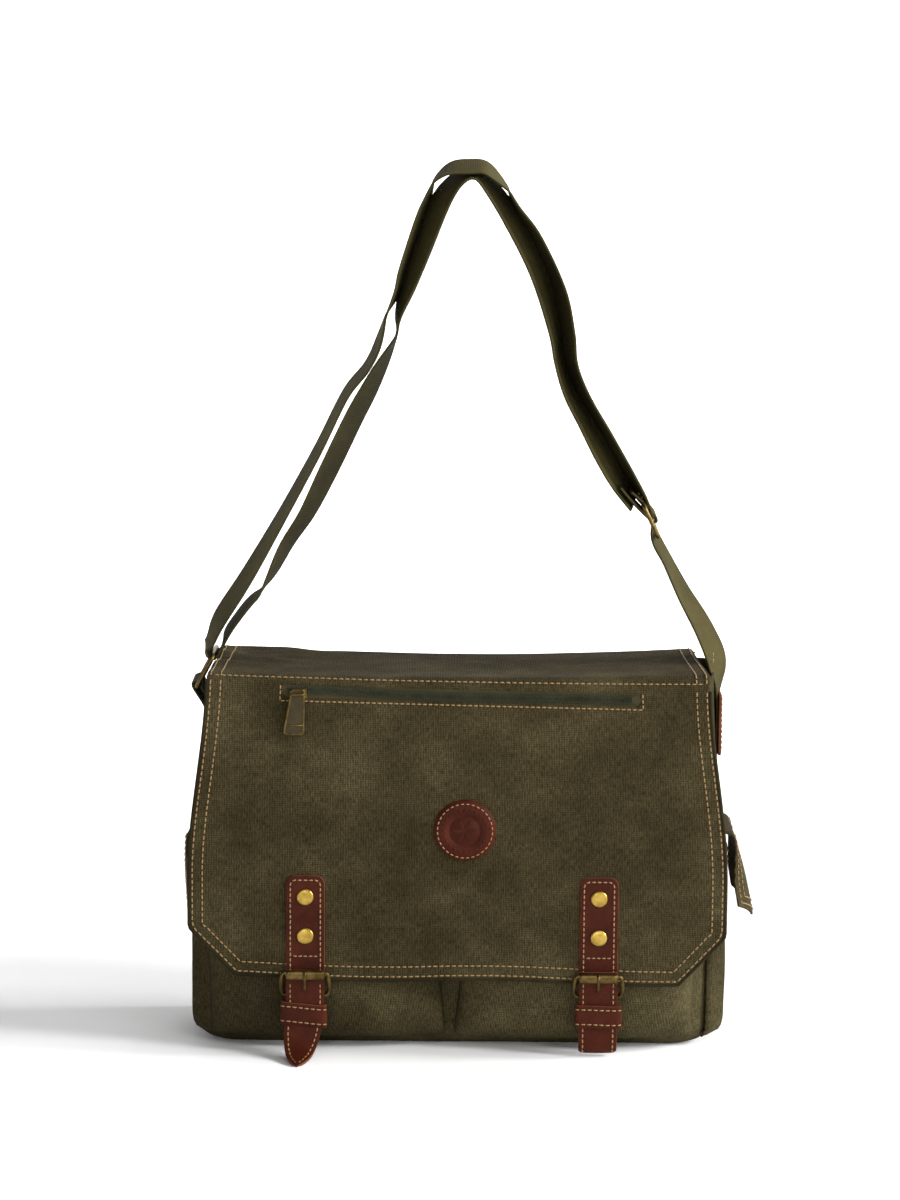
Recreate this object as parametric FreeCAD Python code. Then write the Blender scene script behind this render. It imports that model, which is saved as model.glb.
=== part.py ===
import FreeCAD, Part
import os

os.makedirs("parts", exist_ok=True)

# Messenger bag, millimetres. X runs left to right, the front faces -Y, Z is up.
# The origin is the centre of the base on the surface that the bag stands on.

# Driving dimensions
BODY_W = 368.0
BODY_D = 100.0
BODY_H = 266.0
CANVAS = 2.5
LINING = 1.0
BASE_T = 3.0
GAP = 0.3
WEBBING_W = 38.0
WEBBING_T = 2.0
LEATHER_T = 2.0
STRAP_W = 27.0
STRAP_X = {"left": -106.0, "right": 99.0}
SIDES = {"left": -1, "right": 1}

# Derived planes
HALF_W = BODY_W / 2
HALF_D = BODY_D / 2
POCKET_D = 16.0
POCKET_FRONT = -HALF_D - POCKET_D
FLAP_CLEARANCE = 3.5
FLAP_BACK = POCKET_FRONT - FLAP_CLEARANCE
FLAP_FRONT = FLAP_BACK - CANVAS
FLAP_Z = BODY_H + 2.5
FLAP_TOP_Z = FLAP_Z + CANVAS
FLAP_LOW_Z = 54.0
FLAP_CORNER_Z = 88.0
FLAP_TOP_HALF = 174.0
FLAP_WIDE_HALF = 187.0
FLAP_LOW_HALF = 153.0


def block(x0, x1, y0, y1, z0, z1):
    corner = FreeCAD.Vector(min(x0, x1), min(y0, y1), min(z0, z1))
    return Part.makeBox(abs(x1 - x0), abs(y1 - y0), abs(z1 - z0), corner)


def disc(radius, x, y0, y1, z):
    """A round plate whose axis runs front to back."""
    return Part.makeCylinder(radius, abs(y1 - y0), FreeCAD.Vector(x, min(y0, y1), z), FreeCAD.Vector(0, 1, 0))


def rod(radius, start, end):
    start = FreeCAD.Vector(*start)
    run = FreeCAD.Vector(*end) - start
    return Part.makeCylinder(radius, run.Length, start, run)


def plate(points, depth):
    """A flat outline pushed out along a vector."""
    wire = Part.makePolygon([FreeCAD.Vector(*p) for p in points + points[:1]])
    return Part.Face(wire).extrude(FreeCAD.Vector(*depth))


def save(name, *solids):
    shape = solids[0] if len(solids) == 1 else Part.makeCompound(list(solids))
    shape.exportStep("parts/" + name + ".step")


# Bag body

GUSSET_DROP = 4.0
LINING_DROP = 10.0
BACK_STRIP_T = 2.0
BACK_STRIP_LOW_Z = 200.0


def body_panels():
    top = BODY_H
    save("base_panel", block(-HALF_W, HALF_W, -HALF_D, HALF_D, 0, BASE_T))
    save("body_front", block(-HALF_W, HALF_W, -HALF_D, -HALF_D + CANVAS, BASE_T, top))
    save("body_back", block(-HALF_W, HALF_W, HALF_D - CANVAS, HALF_D, BASE_T, top))
    inner_y = HALF_D - CANVAS
    for side, sign in SIDES.items():
        save("gusset_" + side, block(sign * (HALF_W - CANVAS), sign * HALF_W, -inner_y, inner_y, BASE_T,
                                     top - GUSSET_DROP))
    half_x = HALF_W - CANVAS
    outer = block(-half_x, half_x, -inner_y, inner_y, BASE_T,
                  top - LINING_DROP)
    hollow_x, hollow_y = half_x - LINING, inner_y - LINING
    hollow = block(-hollow_x, hollow_x, -hollow_y, hollow_y, BASE_T + LINING, top)
    save("lining", outer.cut(hollow))
    strip_back = HALF_D + BACK_STRIP_T
    save("flap_back_strip", block(-FLAP_TOP_HALF, FLAP_TOP_HALF, HALF_D, strip_back, BACK_STRIP_LOW_Z, top))


FRONT_POCKET_TOP = 185.0
FRONT_POCKET_LOW = 5.0
FRONT_POCKET_HALF = 172.0
FRONT_POCKET_PARTING = 3.0


def front_pockets():
    for side, sign in SIDES.items():
        near, far = sign * FRONT_POCKET_PARTING, sign * FRONT_POCKET_HALF
        outer = block(near, far, POCKET_FRONT, -HALF_D, FRONT_POCKET_LOW, FRONT_POCKET_TOP)
        hollow = block(near + sign * CANVAS, far - sign * CANVAS, POCKET_FRONT + CANVAS, -HALF_D,
                       FRONT_POCKET_LOW + CANVAS, FRONT_POCKET_TOP)
        save("front_pocket_" + side, outer.cut(hollow))


SIDE_POCKET_X = HALF_W + 10
SIDE_POCKET_HALF = 35.0
SIDE_POCKET_LOW = 4.0
SIDE_POCKET_WALL = 2.0
SIDE_POCKET_TOP = 143.0
SIDE_FLAP_HINGE_X = HALF_W + 2
SIDE_FLAP_HINGE_Z = 157.0
SIDE_FLAP_REST = {"left": 0.0, "right": 12.0}


def side_pockets():
    for side, sign in SIDES.items():
        wall, half, low = SIDE_POCKET_WALL, SIDE_POCKET_HALF, SIDE_POCKET_LOW
        outer = block(sign * HALF_W, sign * SIDE_POCKET_X, -half, half, low, SIDE_POCKET_TOP)
        hollow = block(sign * HALF_W, sign * (SIDE_POCKET_X - wall), wall - half, half - wall, low + wall,
                       SIDE_POCKET_TOP)
        save("side_pocket_" + side, outer.cut(hollow))


def side_pocket_flaps():
    """Each flap leaves the gusset, bends over the pocket's mouth and ends in a point."""
    half, square_z, tip_z, top_z = 33.0, 98.0, 80.0, SIDE_FLAP_HINGE_Z
    pocket_gap, thickness, hinge_gap = 1.0, 2.0, 0.5
    for side, sign in SIDES.items():
        inside = sign * (SIDE_POCKET_X + pocket_gap)
        outside = inside + sign * thickness
        outline = [(inside, -half, top_z), (inside, half, top_z), (inside, half, square_z),
                   (inside, 0, tip_z), (inside, -half, square_z)]
        face = plate(outline, (outside - inside, 0, 0))
        lip = block(sign * (SIDE_FLAP_HINGE_X + hinge_gap), inside, -half, half, top_z - thickness, top_z)
        flap = face.fuse(lip)
        hinge = FreeCAD.Vector(sign * SIDE_FLAP_HINGE_X, 0, SIDE_FLAP_HINGE_Z)
        flap.rotate(hinge, FreeCAD.Vector(0, -sign, 0), SIDE_FLAP_REST[side])
        save("side_flap_" + side, flap)


# Flap, with its zipped pocket

ZIP_LEFT = -121.0
ZIP_RIGHT = 125.0
ZIP_Z = 258.0
ZIP_HALF = 7.0
TEETH_HALF = 1.4
ZIP_TAPE_T = 1.0
ZIP_POCKET_LOW_Z = 140.0
SLIDER_X = -111.0


def flap_panels():
    edge_gap = 0.5
    save("flap_top", block(-FLAP_TOP_HALF, FLAP_TOP_HALF, FLAP_BACK + edge_gap, HALF_D, FLAP_Z, FLAP_TOP_Z))
    top_z = FLAP_Z - 1
    outline = [(-FLAP_TOP_HALF, FLAP_FRONT, top_z), (FLAP_TOP_HALF, FLAP_FRONT, top_z),
               (FLAP_WIDE_HALF, FLAP_FRONT, FLAP_CORNER_Z), (FLAP_LOW_HALF, FLAP_FRONT, FLAP_LOW_Z),
               (-FLAP_LOW_HALF, FLAP_FRONT, FLAP_LOW_Z), (-FLAP_WIDE_HALF, FLAP_FRONT, FLAP_CORNER_Z)]
    window = block(ZIP_LEFT, ZIP_RIGHT, FLAP_FRONT - 1, FLAP_BACK + 1, ZIP_Z - ZIP_HALF, ZIP_Z + ZIP_HALF)
    save("flap_front", plate(outline, (0, CANVAS, 0)).cut(window))
    save("flap_pocket_bag", block(ZIP_LEFT, ZIP_RIGHT, FLAP_BACK, FLAP_BACK + LINING, ZIP_POCKET_LOW_Z,
                                  ZIP_Z - ZIP_HALF))


def zip_parts():
    tape_y, tooth_margin = FLAP_FRONT + 0.6, 3.0
    tape_back = tape_y + ZIP_TAPE_T
    tapes = [block(ZIP_LEFT, ZIP_RIGHT, tape_y, tape_back, ZIP_Z + sign * TEETH_HALF, ZIP_Z + sign * ZIP_HALF)
             for sign in (-1, 1)]
    save("zip_tape", *tapes)
    teeth = [block(ZIP_LEFT + tooth_margin, ZIP_RIGHT - tooth_margin, FLAP_FRONT, tape_back, ZIP_Z,
                   ZIP_Z + sign * TEETH_HALF) for sign in (-1, 1)]
    save("zip_teeth", *teeth)


def zip_slider_and_pull():
    """The slider carries two bails and a pin, and the pull's eye turns on the pin."""
    back = FLAP_FRONT - GAP
    slider_half_x, slider_half_z, slider_t = 6.0, 4.0, 1.8
    front = back - slider_t
    slider = block(SLIDER_X - slider_half_x, SLIDER_X + slider_half_x, front, back, ZIP_Z - slider_half_z,
                   ZIP_Z + slider_half_z)
    bail_out, bail_in, bail_half_z, bail_reach = 4.0, 2.5, 2.5, 2.7
    bails = [block(SLIDER_X + sign * bail_in, SLIDER_X + sign * bail_out, front - bail_reach, front,
                   ZIP_Z - bail_half_z, ZIP_Z + bail_half_z) for sign in (-1, 1)]
    pin_r, pin_y = 0.7, front - 1.6
    pin = rod(pin_r, (SLIDER_X - bail_out, pin_y, ZIP_Z), (SLIDER_X + bail_out, pin_y, ZIP_Z))
    save("zip_slider", slider.fuse(bails + [pin]))
    half_top, half_low, length, drop, pull_t, pull_front = 2.3, 7.0, 37.0, 1.2, 1.5, pin_y - 1.7
    eye_r, bore_r = 1.5, pin_r + 0.07
    eye = rod(eye_r, (SLIDER_X - half_top, pin_y, ZIP_Z), (SLIDER_X + half_top, pin_y, ZIP_Z))
    bore = rod(bore_r, (SLIDER_X - half_top, pin_y, ZIP_Z), (SLIDER_X + half_top, pin_y, ZIP_Z))
    top_z, low_z = ZIP_Z - drop, ZIP_Z - length
    outline = [(SLIDER_X - half_top, pull_front, top_z), (SLIDER_X + half_top, pull_front, top_z),
               (SLIDER_X + half_low, pull_front, low_z), (SLIDER_X - half_low, pull_front, low_z)]
    save("zip_pull", plate(outline, (0, pull_t, 0)).fuse(eye).cut(bore))


def patch():
    radius, x, z, thickness = 22.0, 5.0, 162.0, 1.4
    save("round_patch", disc(radius, x, FLAP_FRONT - thickness, FLAP_FRONT, z))


# Buckled leather straps

TAB_TOP_Z = 129.0
TAB_LOW_Z = 62.0
TAB_FRONT = FLAP_FRONT - 2.5
RIVET_ZS = (114.0, 86.0)
SNAP_Z = 98.5
ROLLER_Y = TAB_FRONT - 4.7
ROLLER_Z = 57.0
ROLLER_R = 2.4
STRAP_BACK = TAB_FRONT - 0.1
STRAP_FRONT = STRAP_BACK - LEATHER_T
KEEPER_Z = (22.0, 38.0)
FRAME_LOW_Z = 43.0


def upper_tab(side, x):
    rivet_r, rivet_t, washer_r, washer_t, snap_r, snap_t = 6.0, 1.6, 4.5, 0.8, 7.0, 1.3
    half = STRAP_W / 2
    save("upper_tab_" + side, block(x - half, x + half, TAB_FRONT, FLAP_FRONT, TAB_LOW_Z, TAB_TOP_Z))
    save("rivets_" + side, *[disc(rivet_r, x, TAB_FRONT - rivet_t, TAB_FRONT, z) for z in RIVET_ZS])
    save("rivet_washers_" + side, *[disc(washer_r, x, FLAP_BACK, FLAP_BACK + washer_t, z) for z in RIVET_ZS])
    save("snap_socket_" + side, disc(snap_r, x, FLAP_BACK, FLAP_BACK + snap_t, SNAP_Z))
    save("snap_stud_" + side, disc(snap_r, x, POCKET_FRONT - snap_t, POCKET_FRONT, SNAP_Z))


def buckle(side, x):
    roller_half, arm_x, arm_r, bar_r = 15.0, 16.9, 1.5, 1.2
    save("buckle_roller_" + side, rod(ROLLER_R, (x - roller_half, ROLLER_Y, ROLLER_Z),
                                      (x + roller_half, ROLLER_Y, ROLLER_Z)))
    low_y = STRAP_BACK + 1.6
    arms = [rod(arm_r, (x + sign * arm_x, ROLLER_Y, ROLLER_Z + 1.5), (x + sign * arm_x, low_y, FRAME_LOW_Z - 1))
            for sign in (-1, 1)]
    bar = rod(bar_r, (x - arm_x, low_y, FRAME_LOW_Z), (x + arm_x, low_y, FRAME_LOW_Z))
    save("buckle_frame_" + side, arms[0].fuse([arms[1], bar]))
    ring_r, ring_half, bore_gap = 3.6, 1.5, 0.06
    ring_ends = (x - ring_half, ROLLER_Y, ROLLER_Z), (x + ring_half, ROLLER_Y, ROLLER_Z)
    tongue_half, tongue_t, tongue_low, tongue_top = 1.2, 1.9, 47.0, ROLLER_Z - 2
    tongue_back = STRAP_FRONT - GAP
    tongue = block(x - tongue_half, x + tongue_half, tongue_back - tongue_t, tongue_back, tongue_low, tongue_top)
    bore = rod(ROLLER_R + bore_gap, *ring_ends)
    save("buckle_prong_" + side, rod(ring_r, *ring_ends).fuse(tongue).cut(bore))


def lower_strap(side, x):
    """The left tip kicks forward on the floor, the right one hangs to just above it."""
    half, top_z = STRAP_W / 2, TAB_LOW_Z - GAP
    bend_z, low_z, kick = 13.0, 2.0, 16.0
    if side == "left":
        outline = [(x - half, STRAP_BACK, top_z), (x - half, STRAP_FRONT, top_z),
                   (x - half, STRAP_FRONT, bend_z + 1), (x - half, STRAP_FRONT - kick, low_z + 2),
                   (x - half, STRAP_FRONT - kick, low_z), (x - half, STRAP_BACK - 2, low_z + 3),
                   (x - half, STRAP_BACK, bend_z - 1)]
        strap = plate(outline, (STRAP_W, 0, 0))
    else:
        strap = block(x - half, x + half, STRAP_FRONT, STRAP_BACK, low_z, top_z)
    slot_half, slot_depth = 2.2, 4.5
    slot = block(x - slot_half, x + slot_half, STRAP_FRONT - 1, STRAP_BACK + 1, ROLLER_Z - slot_depth, top_z + 1)
    save("lower_strap_" + side, strap.cut(slot))


def keeper(side, x):
    """A leather loop round the lower strap, free to slide on it."""
    half, side_gap, face_gap, leather = 16.5, 0.4, 0.4, 2.0
    inner_half = STRAP_W / 2 + side_gap
    outer = block(x - half, x + half, STRAP_FRONT - face_gap - leather, STRAP_BACK + leather, *KEEPER_Z)
    inner = block(x - inner_half, x + inner_half, STRAP_FRONT - face_gap, STRAP_BACK + face_gap, *KEEPER_Z)
    save("keeper_" + side, outer.cut(inner))


# Shoulder strap

RUN_STEPS = 4
OUTER_RUN = [(-186, 281), (-173, 304), (-132, 373), (-108, 414), (-87, 453), (-56, 512), (-42, 555), (-27, 592),
             (-8, 616), (10, 621), (24, 612), (52, 571), (72, 527), (78, 488), (97, 442), (126, 387)]
INNER_RUN = [(-181, 284), (-172, 292), (-140, 323), (-119, 350), (-76, 426), (-63, 457), (-44, 512), (-29, 553),
             (-11, 594), (7, 610), (25, 592), (41, 553), (58, 511), (66, 473), (85, 433), (111, 387), (121, 371)]
LOWER_RUN = [(132, 364), (140, 346), (156, 321), (170, 299), (183, 277), (189.5, 262), (190, 246)]


def ribbon(points):
    """Webbing whose middle follows points in the XZ plane, as wide as the webbing in Y."""
    curve = Part.BSplineCurve()
    curve.interpolate([FreeCAD.Vector(x, 0, z) for x, z in points])
    sides = []
    steps = RUN_STEPS * len(points)
    for side in (-1, 1):
        rail = []
        for step in range(steps + 1):
            at = curve.FirstParameter + (curve.LastParameter - curve.FirstParameter) * step / steps
            tangent = curve.tangent(at)[0]
            normal = FreeCAD.Vector(tangent.z, 0, -tangent.x)
            rail.append(curve.value(at) + normal * (side * WEBBING_T / 2) - FreeCAD.Vector(0, WEBBING_W / 2, 0))
        edge = Part.BSplineCurve()
        edge.interpolate(rail)
        sides.append(edge)
    near, far = [side.toShape() for side in sides]
    ends = [Part.makeLine(near.Vertexes[end].Point, far.Vertexes[end].Point) for end in (0, -1)]
    wire = Part.Wire(Part.__sortEdges__([near, far] + ends))
    return Part.Face(wire).extrude(FreeCAD.Vector(0, WEBBING_W, 0))


def shoulder_strap():
    save("strap_outer_run", ribbon(OUTER_RUN))
    save("strap_inner_run", ribbon(INNER_RUN))
    save("strap_lower_run", ribbon(LOWER_RUN))


def ring_and_anchors():
    ring_x = -HALF_W - 6
    y, low, high, r = 21.0, 252.0, 277.0, 1.8
    bars = [rod(r, (ring_x, -y, z), (ring_x, y, z)) for z in (low, high)]
    posts = [rod(r, (ring_x, sign * y, low), (ring_x, sign * y, high)) for sign in (-1, 1)]
    corners = [Part.makeSphere(r, FreeCAD.Vector(ring_x, sign * y, z)) for sign in (-1, 1) for z in (low, high)]
    save("strap_ring", bars[0].fuse([bars[1]] + posts + corners))
    loop_half, loop_r, bore_gap = 17.0, 2 * r, 0.05
    loop_ends = (ring_x, -loop_half, low), (ring_x, loop_half, low)
    save("ring_loop", rod(loop_r, *loop_ends).cut(rod(r + bore_gap, *loop_ends)))
    tab_half, tab_t, tab_low, tab_top = 20.0, 2.2, 205.0, 250.0
    for side, sign in SIDES.items():
        save("anchor_tab_" + side, block(sign * HALF_W, sign * (HALF_W + tab_t), -tab_half, tab_half, tab_low,
                                         tab_top))


def adjuster():
    """A flat frame with a middle bar that lies along the outside of the webbing."""
    centre, tilt = FreeCAD.Vector(136.0, 0, 377.0), -24.0
    half_x, half_y, half_z, rim, bar_r = 1.3, 23.0, 13.0, 3.5, 1.75
    frame = block(-half_x, half_x, -half_y, half_y, -half_z, half_z)
    window = block(-2 * half_x, 2 * half_x, -half_y + rim, half_y - rim, -half_z + rim, half_z - rim)
    middle = rod(bar_r, (0, -half_y + rim, 0), (0, half_y - rim, 0))
    for name, shape in (("adjuster_frame", frame.cut(window)), ("adjuster_bar", middle)):
        shape.rotate(FreeCAD.Vector(0, 0, 0), FreeCAD.Vector(0, 1, 0), tilt)
        shape.translate(centre)
        save(name, shape)


def main():
    body_panels()
    front_pockets()
    side_pockets()
    side_pocket_flaps()
    flap_panels()
    zip_parts()
    zip_slider_and_pull()
    patch()
    for side, x in STRAP_X.items():
        upper_tab(side, x)
        buckle(side, x)
        lower_strap(side, x)
        keeper(side, x)
    shoulder_strap()
    ring_and_anchors()
    adjuster()


main()
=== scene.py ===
import math

import bmesh
import bpy
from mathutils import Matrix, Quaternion, Vector, noise


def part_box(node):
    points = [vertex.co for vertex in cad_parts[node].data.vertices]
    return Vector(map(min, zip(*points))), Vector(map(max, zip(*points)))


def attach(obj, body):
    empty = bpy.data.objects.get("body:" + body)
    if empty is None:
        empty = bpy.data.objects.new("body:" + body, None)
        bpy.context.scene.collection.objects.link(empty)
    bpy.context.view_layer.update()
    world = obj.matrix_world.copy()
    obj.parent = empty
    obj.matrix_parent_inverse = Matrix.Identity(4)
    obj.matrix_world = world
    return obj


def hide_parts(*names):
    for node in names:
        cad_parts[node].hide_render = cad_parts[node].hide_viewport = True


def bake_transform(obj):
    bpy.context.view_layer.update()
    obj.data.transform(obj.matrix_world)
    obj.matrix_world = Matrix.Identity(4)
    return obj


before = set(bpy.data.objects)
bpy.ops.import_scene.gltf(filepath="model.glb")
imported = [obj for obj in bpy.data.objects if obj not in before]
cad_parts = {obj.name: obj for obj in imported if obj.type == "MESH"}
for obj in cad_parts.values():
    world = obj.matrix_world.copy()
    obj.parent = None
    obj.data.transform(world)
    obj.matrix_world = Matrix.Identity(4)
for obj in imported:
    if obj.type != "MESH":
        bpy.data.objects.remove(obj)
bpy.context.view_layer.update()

# Driving sizes, in metres. X runs left to right, the front faces -Y, Z is up.
MM = 0.001
CANVAS_T = 2.0 * MM
LEATHER_T = 2.2 * MM
WEBBING_T = 1.8 * MM
WEBBING_W = 38.0 * MM
STITCH_PITCH = 4.3 * MM
LEATHER_PITCH = 3.9 * MM
STITCH_R = 0.42 * MM
SIDES = {"left": -1, "right": 1}
FRONT, BACK = (0, -1, 0), (0, 1, 0)

# Places read from the frame
BODY_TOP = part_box("body_front")[1][2]
HALF_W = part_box("base_panel")[1][0]
HALF_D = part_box("base_panel")[1][1]
FLAP_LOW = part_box("flap_front")[0]
FLAP_Y = FLAP_LOW[1]
FLAP_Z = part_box("flap_top")[1][2]
POCKET_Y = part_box("front_pocket_left")[0][1]


# Camera, light and floor

def add(name, data):
    """An object in the scene that carries data."""
    obj = bpy.data.objects.new(name, data)
    bpy.context.collection.objects.link(obj)
    return obj


def make_camera():
    """A long lens from the front, a little above the bag."""
    azimuth, elevation, distance, tilt = math.radians(0.2), math.radians(9.3), 2.5, math.radians(0.38)
    aim = Vector((-0.0067, 0.0, 0.3123))
    away = Vector((math.sin(azimuth) * math.cos(elevation), -math.cos(azimuth) * math.cos(elevation),
                   math.sin(elevation)))
    data = bpy.data.cameras.new("camera")
    data.sensor_fit = "VERTICAL"
    data.sensor_height = 24.0
    focal_pixels, frame_pixels = 3527.0, 1200.0
    data.lens = data.sensor_height * focal_pixels / frame_pixels
    data.clip_end = 50.0
    camera = add("camera", data)
    camera.location = aim + away * distance
    camera.rotation_mode = "QUATERNION"
    camera.rotation_quaternion = (-away).to_track_quat("-Z", "Y") @ Quaternion(Vector((0, 0, 1)), tilt)
    bpy.context.scene.camera = camera


def point_light(light, way):
    light.rotation_euler = Vector(way).to_track_quat("-Z", "Y").to_euler()


def make_lights():
    """Three soft boxes from the front and above, and wide suns from the left side and the front."""
    world = bpy.data.worlds.new("studio")
    bpy.context.scene.world = world
    world.use_nodes = True
    background = world.node_tree.nodes["Background"]
    background.inputs[0].default_value = (1.0, 1.0, 1.0, 1)
    background.inputs[1].default_value = 0.22
    bpy.context.scene.view_settings.view_transform = "Standard"
    boxes = (("key", (0.9, -1.9, 1.7), (0, 0, 0.2), (1.0, 1.0), 7.0),
             ("top", (0.1, 0.3, 2.2), (0, 0, 0.2), (1.2, 0.8), 4.0),
             ("near_right", (0.75, -0.8, 0.32), (0.1, 0, 0.15), (0.4, 0.4), 3.2))
    for name, place, target, size, power in boxes:
        data = bpy.data.lights.new(name, "AREA")
        data.shape = "RECTANGLE"
        data.size, data.size_y = size
        data.energy = power
        light = add(name, data)
        light.location = place
        point_light(light, Vector(target) - Vector(place))
    suns = (("side_sun_front", (-1.5, 0.0, -0.72), 2.8, 14), ("side_sun_back", (-1.5, 0.5, -0.72), 2.8, 14),
            ("front_sun", (0.12, 1.0, -0.2), 0.8, 30))
    for name, way, energy, spread in suns:
        sun = bpy.data.lights.new(name, "SUN")
        sun.energy = energy
        sun.angle = math.radians(spread)
        point_light(add(name, sun), way)


def make_floor():
    """A white floor that curves up into a wall at the back and glows away from the bag."""
    reach, rise, bend, radius, steps = 6.0, 4.0, 2.5, 1.5, 10
    rows = [(-reach, 0.0), (bend, 0.0)]
    for step in range(1, steps + 1):
        turn = math.pi / 2 * step / steps
        rows.append((bend + radius * math.sin(turn), radius * (1 - math.cos(turn))))
    rows.append((bend + radius, rise))
    verts = [(side * reach, y, z) for y, z in rows for side in (-1, 1)]
    faces = [(2 * i, 2 * i + 1, 2 * i + 3, 2 * i + 2) for i in range(len(rows) - 1)]
    mesh = bpy.data.meshes.new("floor")
    mesh.from_pydata(verts, [], faces)
    mesh.polygons.foreach_set("use_smooth", [True] * len(faces))
    s = Shader("floor_white", 0.9, specular=0.1)
    s.bsdf.inputs["Base Color"].default_value = (0.93, 0.93, 0.93, 1)
    s.bsdf.inputs["Emission Color"].default_value = (1, 1, 1, 1)
    glow = s.nodes.new("ShaderNodeMapRange")
    length = s.nodes.new("ShaderNodeVectorMath")
    length.operation = "LENGTH"
    s.links.new(s.place, length.inputs[0])
    s.links.new(length.outputs["Value"], glow.inputs["Value"])
    for name, value in (("From Min", 0.5), ("From Max", 1.3), ("To Min", 0.0), ("To Max", 0.7)):
        glow.inputs[name].default_value = value
    s.links.new(glow.outputs[0], s.bsdf.inputs["Emission Strength"])
    mesh.materials.append(s.mat)
    add("floor", mesh)


# Materials

class Shader:
    """A few short calls to wire a node material."""

    def __init__(self, name, roughness, metallic=0.0, specular=0.5, sheen=0.0):
        self.mat = bpy.data.materials.new(name)
        self.mat.use_nodes = True
        self.nodes = self.mat.node_tree.nodes
        self.links = self.mat.node_tree.links
        self.bsdf = self.nodes["Principled BSDF"]
        self.bsdf.inputs["Roughness"].default_value = roughness
        self.bsdf.inputs["Metallic"].default_value = metallic
        self.bsdf.inputs["Specular IOR Level"].default_value = specular
        self.bsdf.inputs["Sheen Weight"].default_value = sheen
        coords = self.nodes.new("ShaderNodeTexCoord")
        self.uv = coords.outputs["UV"]
        self.place = coords.outputs["Object"]

    def stretch(self, source, scale):
        node = self.nodes.new("ShaderNodeMapping")
        node.inputs["Scale"].default_value = scale
        self.links.new(source, node.inputs["Vector"])
        return node.outputs[0]

    def noise(self, source, scale, detail=2.0, rough=0.5):
        node = self.nodes.new("ShaderNodeTexNoise")
        node.inputs["Scale"].default_value = scale
        node.inputs["Detail"].default_value = detail
        node.inputs["Roughness"].default_value = rough
        self.links.new(source, node.inputs["Vector"])
        return node.outputs["Fac"]

    def wave(self, source, pitch, direction, distortion=0.0):
        node = self.nodes.new("ShaderNodeTexWave")
        node.bands_direction = direction
        waves_per_unit = 2 * math.pi / 20
        node.inputs["Scale"].default_value = waves_per_unit / pitch
        node.inputs["Distortion"].default_value = distortion
        node.inputs["Detail Scale"].default_value = 1.0
        self.links.new(source, node.inputs["Vector"])
        return node.outputs["Fac"]

    def maths(self, operation, one, two):
        node = self.nodes.new("ShaderNodeMath")
        node.operation = operation
        for slot, value in enumerate((one, two)):
            if isinstance(value, float):
                node.inputs[slot].default_value = value
            else:
                self.links.new(value, node.inputs[slot])
        return node.outputs[0]

    def weigh(self, one, one_part, two, two_part):
        """one * one_part + two * two_part"""
        return self.maths("ADD", self.maths("MULTIPLY", one, one_part), self.maths("MULTIPLY", two, two_part))

    def ramp(self, source, stops):
        node = self.nodes.new("ShaderNodeValToRGB")
        ramp = node.color_ramp
        while len(ramp.elements) < len(stops):
            ramp.elements.new(0.5)
        for element, (at, colour) in zip(ramp.elements, stops):
            element.position = at
            element.color = colour if len(colour) == 4 else (*colour, 1)
        self.links.new(source, node.inputs["Fac"])
        return node.outputs["Color"]

    def mix(self, factor, one, two, kind="MIX"):
        node = self.nodes.new("ShaderNodeMix")
        node.data_type = "RGBA"
        node.blend_type = kind
        for slot, value in ((0, factor), (6, one), (7, two)):
            if isinstance(value, (int, float)):
                node.inputs[slot].default_value = value
            elif isinstance(value, tuple):
                node.inputs[slot].default_value = (*value, 1)
            else:
                self.links.new(value, node.inputs[slot])
        return node.outputs[2]

    def colour(self, source):
        self.links.new(source, self.bsdf.inputs["Base Color"])

    def roughness(self, source):
        self.links.new(source, self.bsdf.inputs["Roughness"])

    def bump(self, source, distance, strength=1.0):
        node = self.nodes.new("ShaderNodeBump")
        node.inputs["Distance"].default_value = distance
        node.inputs["Strength"].default_value = strength
        self.links.new(source, node.inputs["Height"])
        self.links.new(node.outputs[0], self.bsdf.inputs["Normal"])


def canvas_material(name, dark, mid, pale):
    """Waxed canvas: upright warp ribs, finer weft, mottled fading and pale scuffs."""
    s = Shader(name, 0.95, specular=0.05)
    warp = s.wave(s.uv, 1.15 * MM, "X", 1.2)
    weft = s.wave(s.uv, 1.3 * MM, "Y", 1.2)
    slub = s.noise(s.stretch(s.uv, (1050, 240, 1)), 1.0, 2.0, 0.6)
    slub_across = s.noise(s.stretch(s.uv, (300, 1100, 1)), 1.0, 2.0, 0.6)
    fading = s.noise(s.place, 9.0, 6.0, 0.62)
    cloud = s.noise(s.place, 28.0, 5.0, 0.7)
    tone = s.weigh(fading, 0.62, cloud, 0.38)
    base = s.ramp(tone, [(0.38, dark), (0.5, mid), (0.66, pale)])
    threads = s.weigh(slub, 0.68, slub_across, 0.32)
    rib = s.weigh(warp, 0.3, weft, 0.16)
    weave = s.maths("ADD", rib, s.maths("MULTIPLY", threads, 1.25))
    shade = s.ramp(weave, [(0.55, (0.4, 0.4, 0.4)), (0.85, (0.95, 0.95, 0.95)), (1.0, (1.8, 1.75, 1.65))])
    cloth = s.mix(1.0, base, shade, "MULTIPLY")
    scratches = s.noise(s.stretch(s.place, (14, 14, 90)), 1.0, 6.0, 0.75)
    scuff = s.ramp(scratches, [(0.64, (0, 0, 0)), (0.74, (0.35, 0.35, 0.35))])
    s.colour(s.mix(scuff, cloth, tuple(1.5 * c for c in pale)))
    s.bump(weave, 0.35 * MM, 0.75)
    return s.mat


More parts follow.
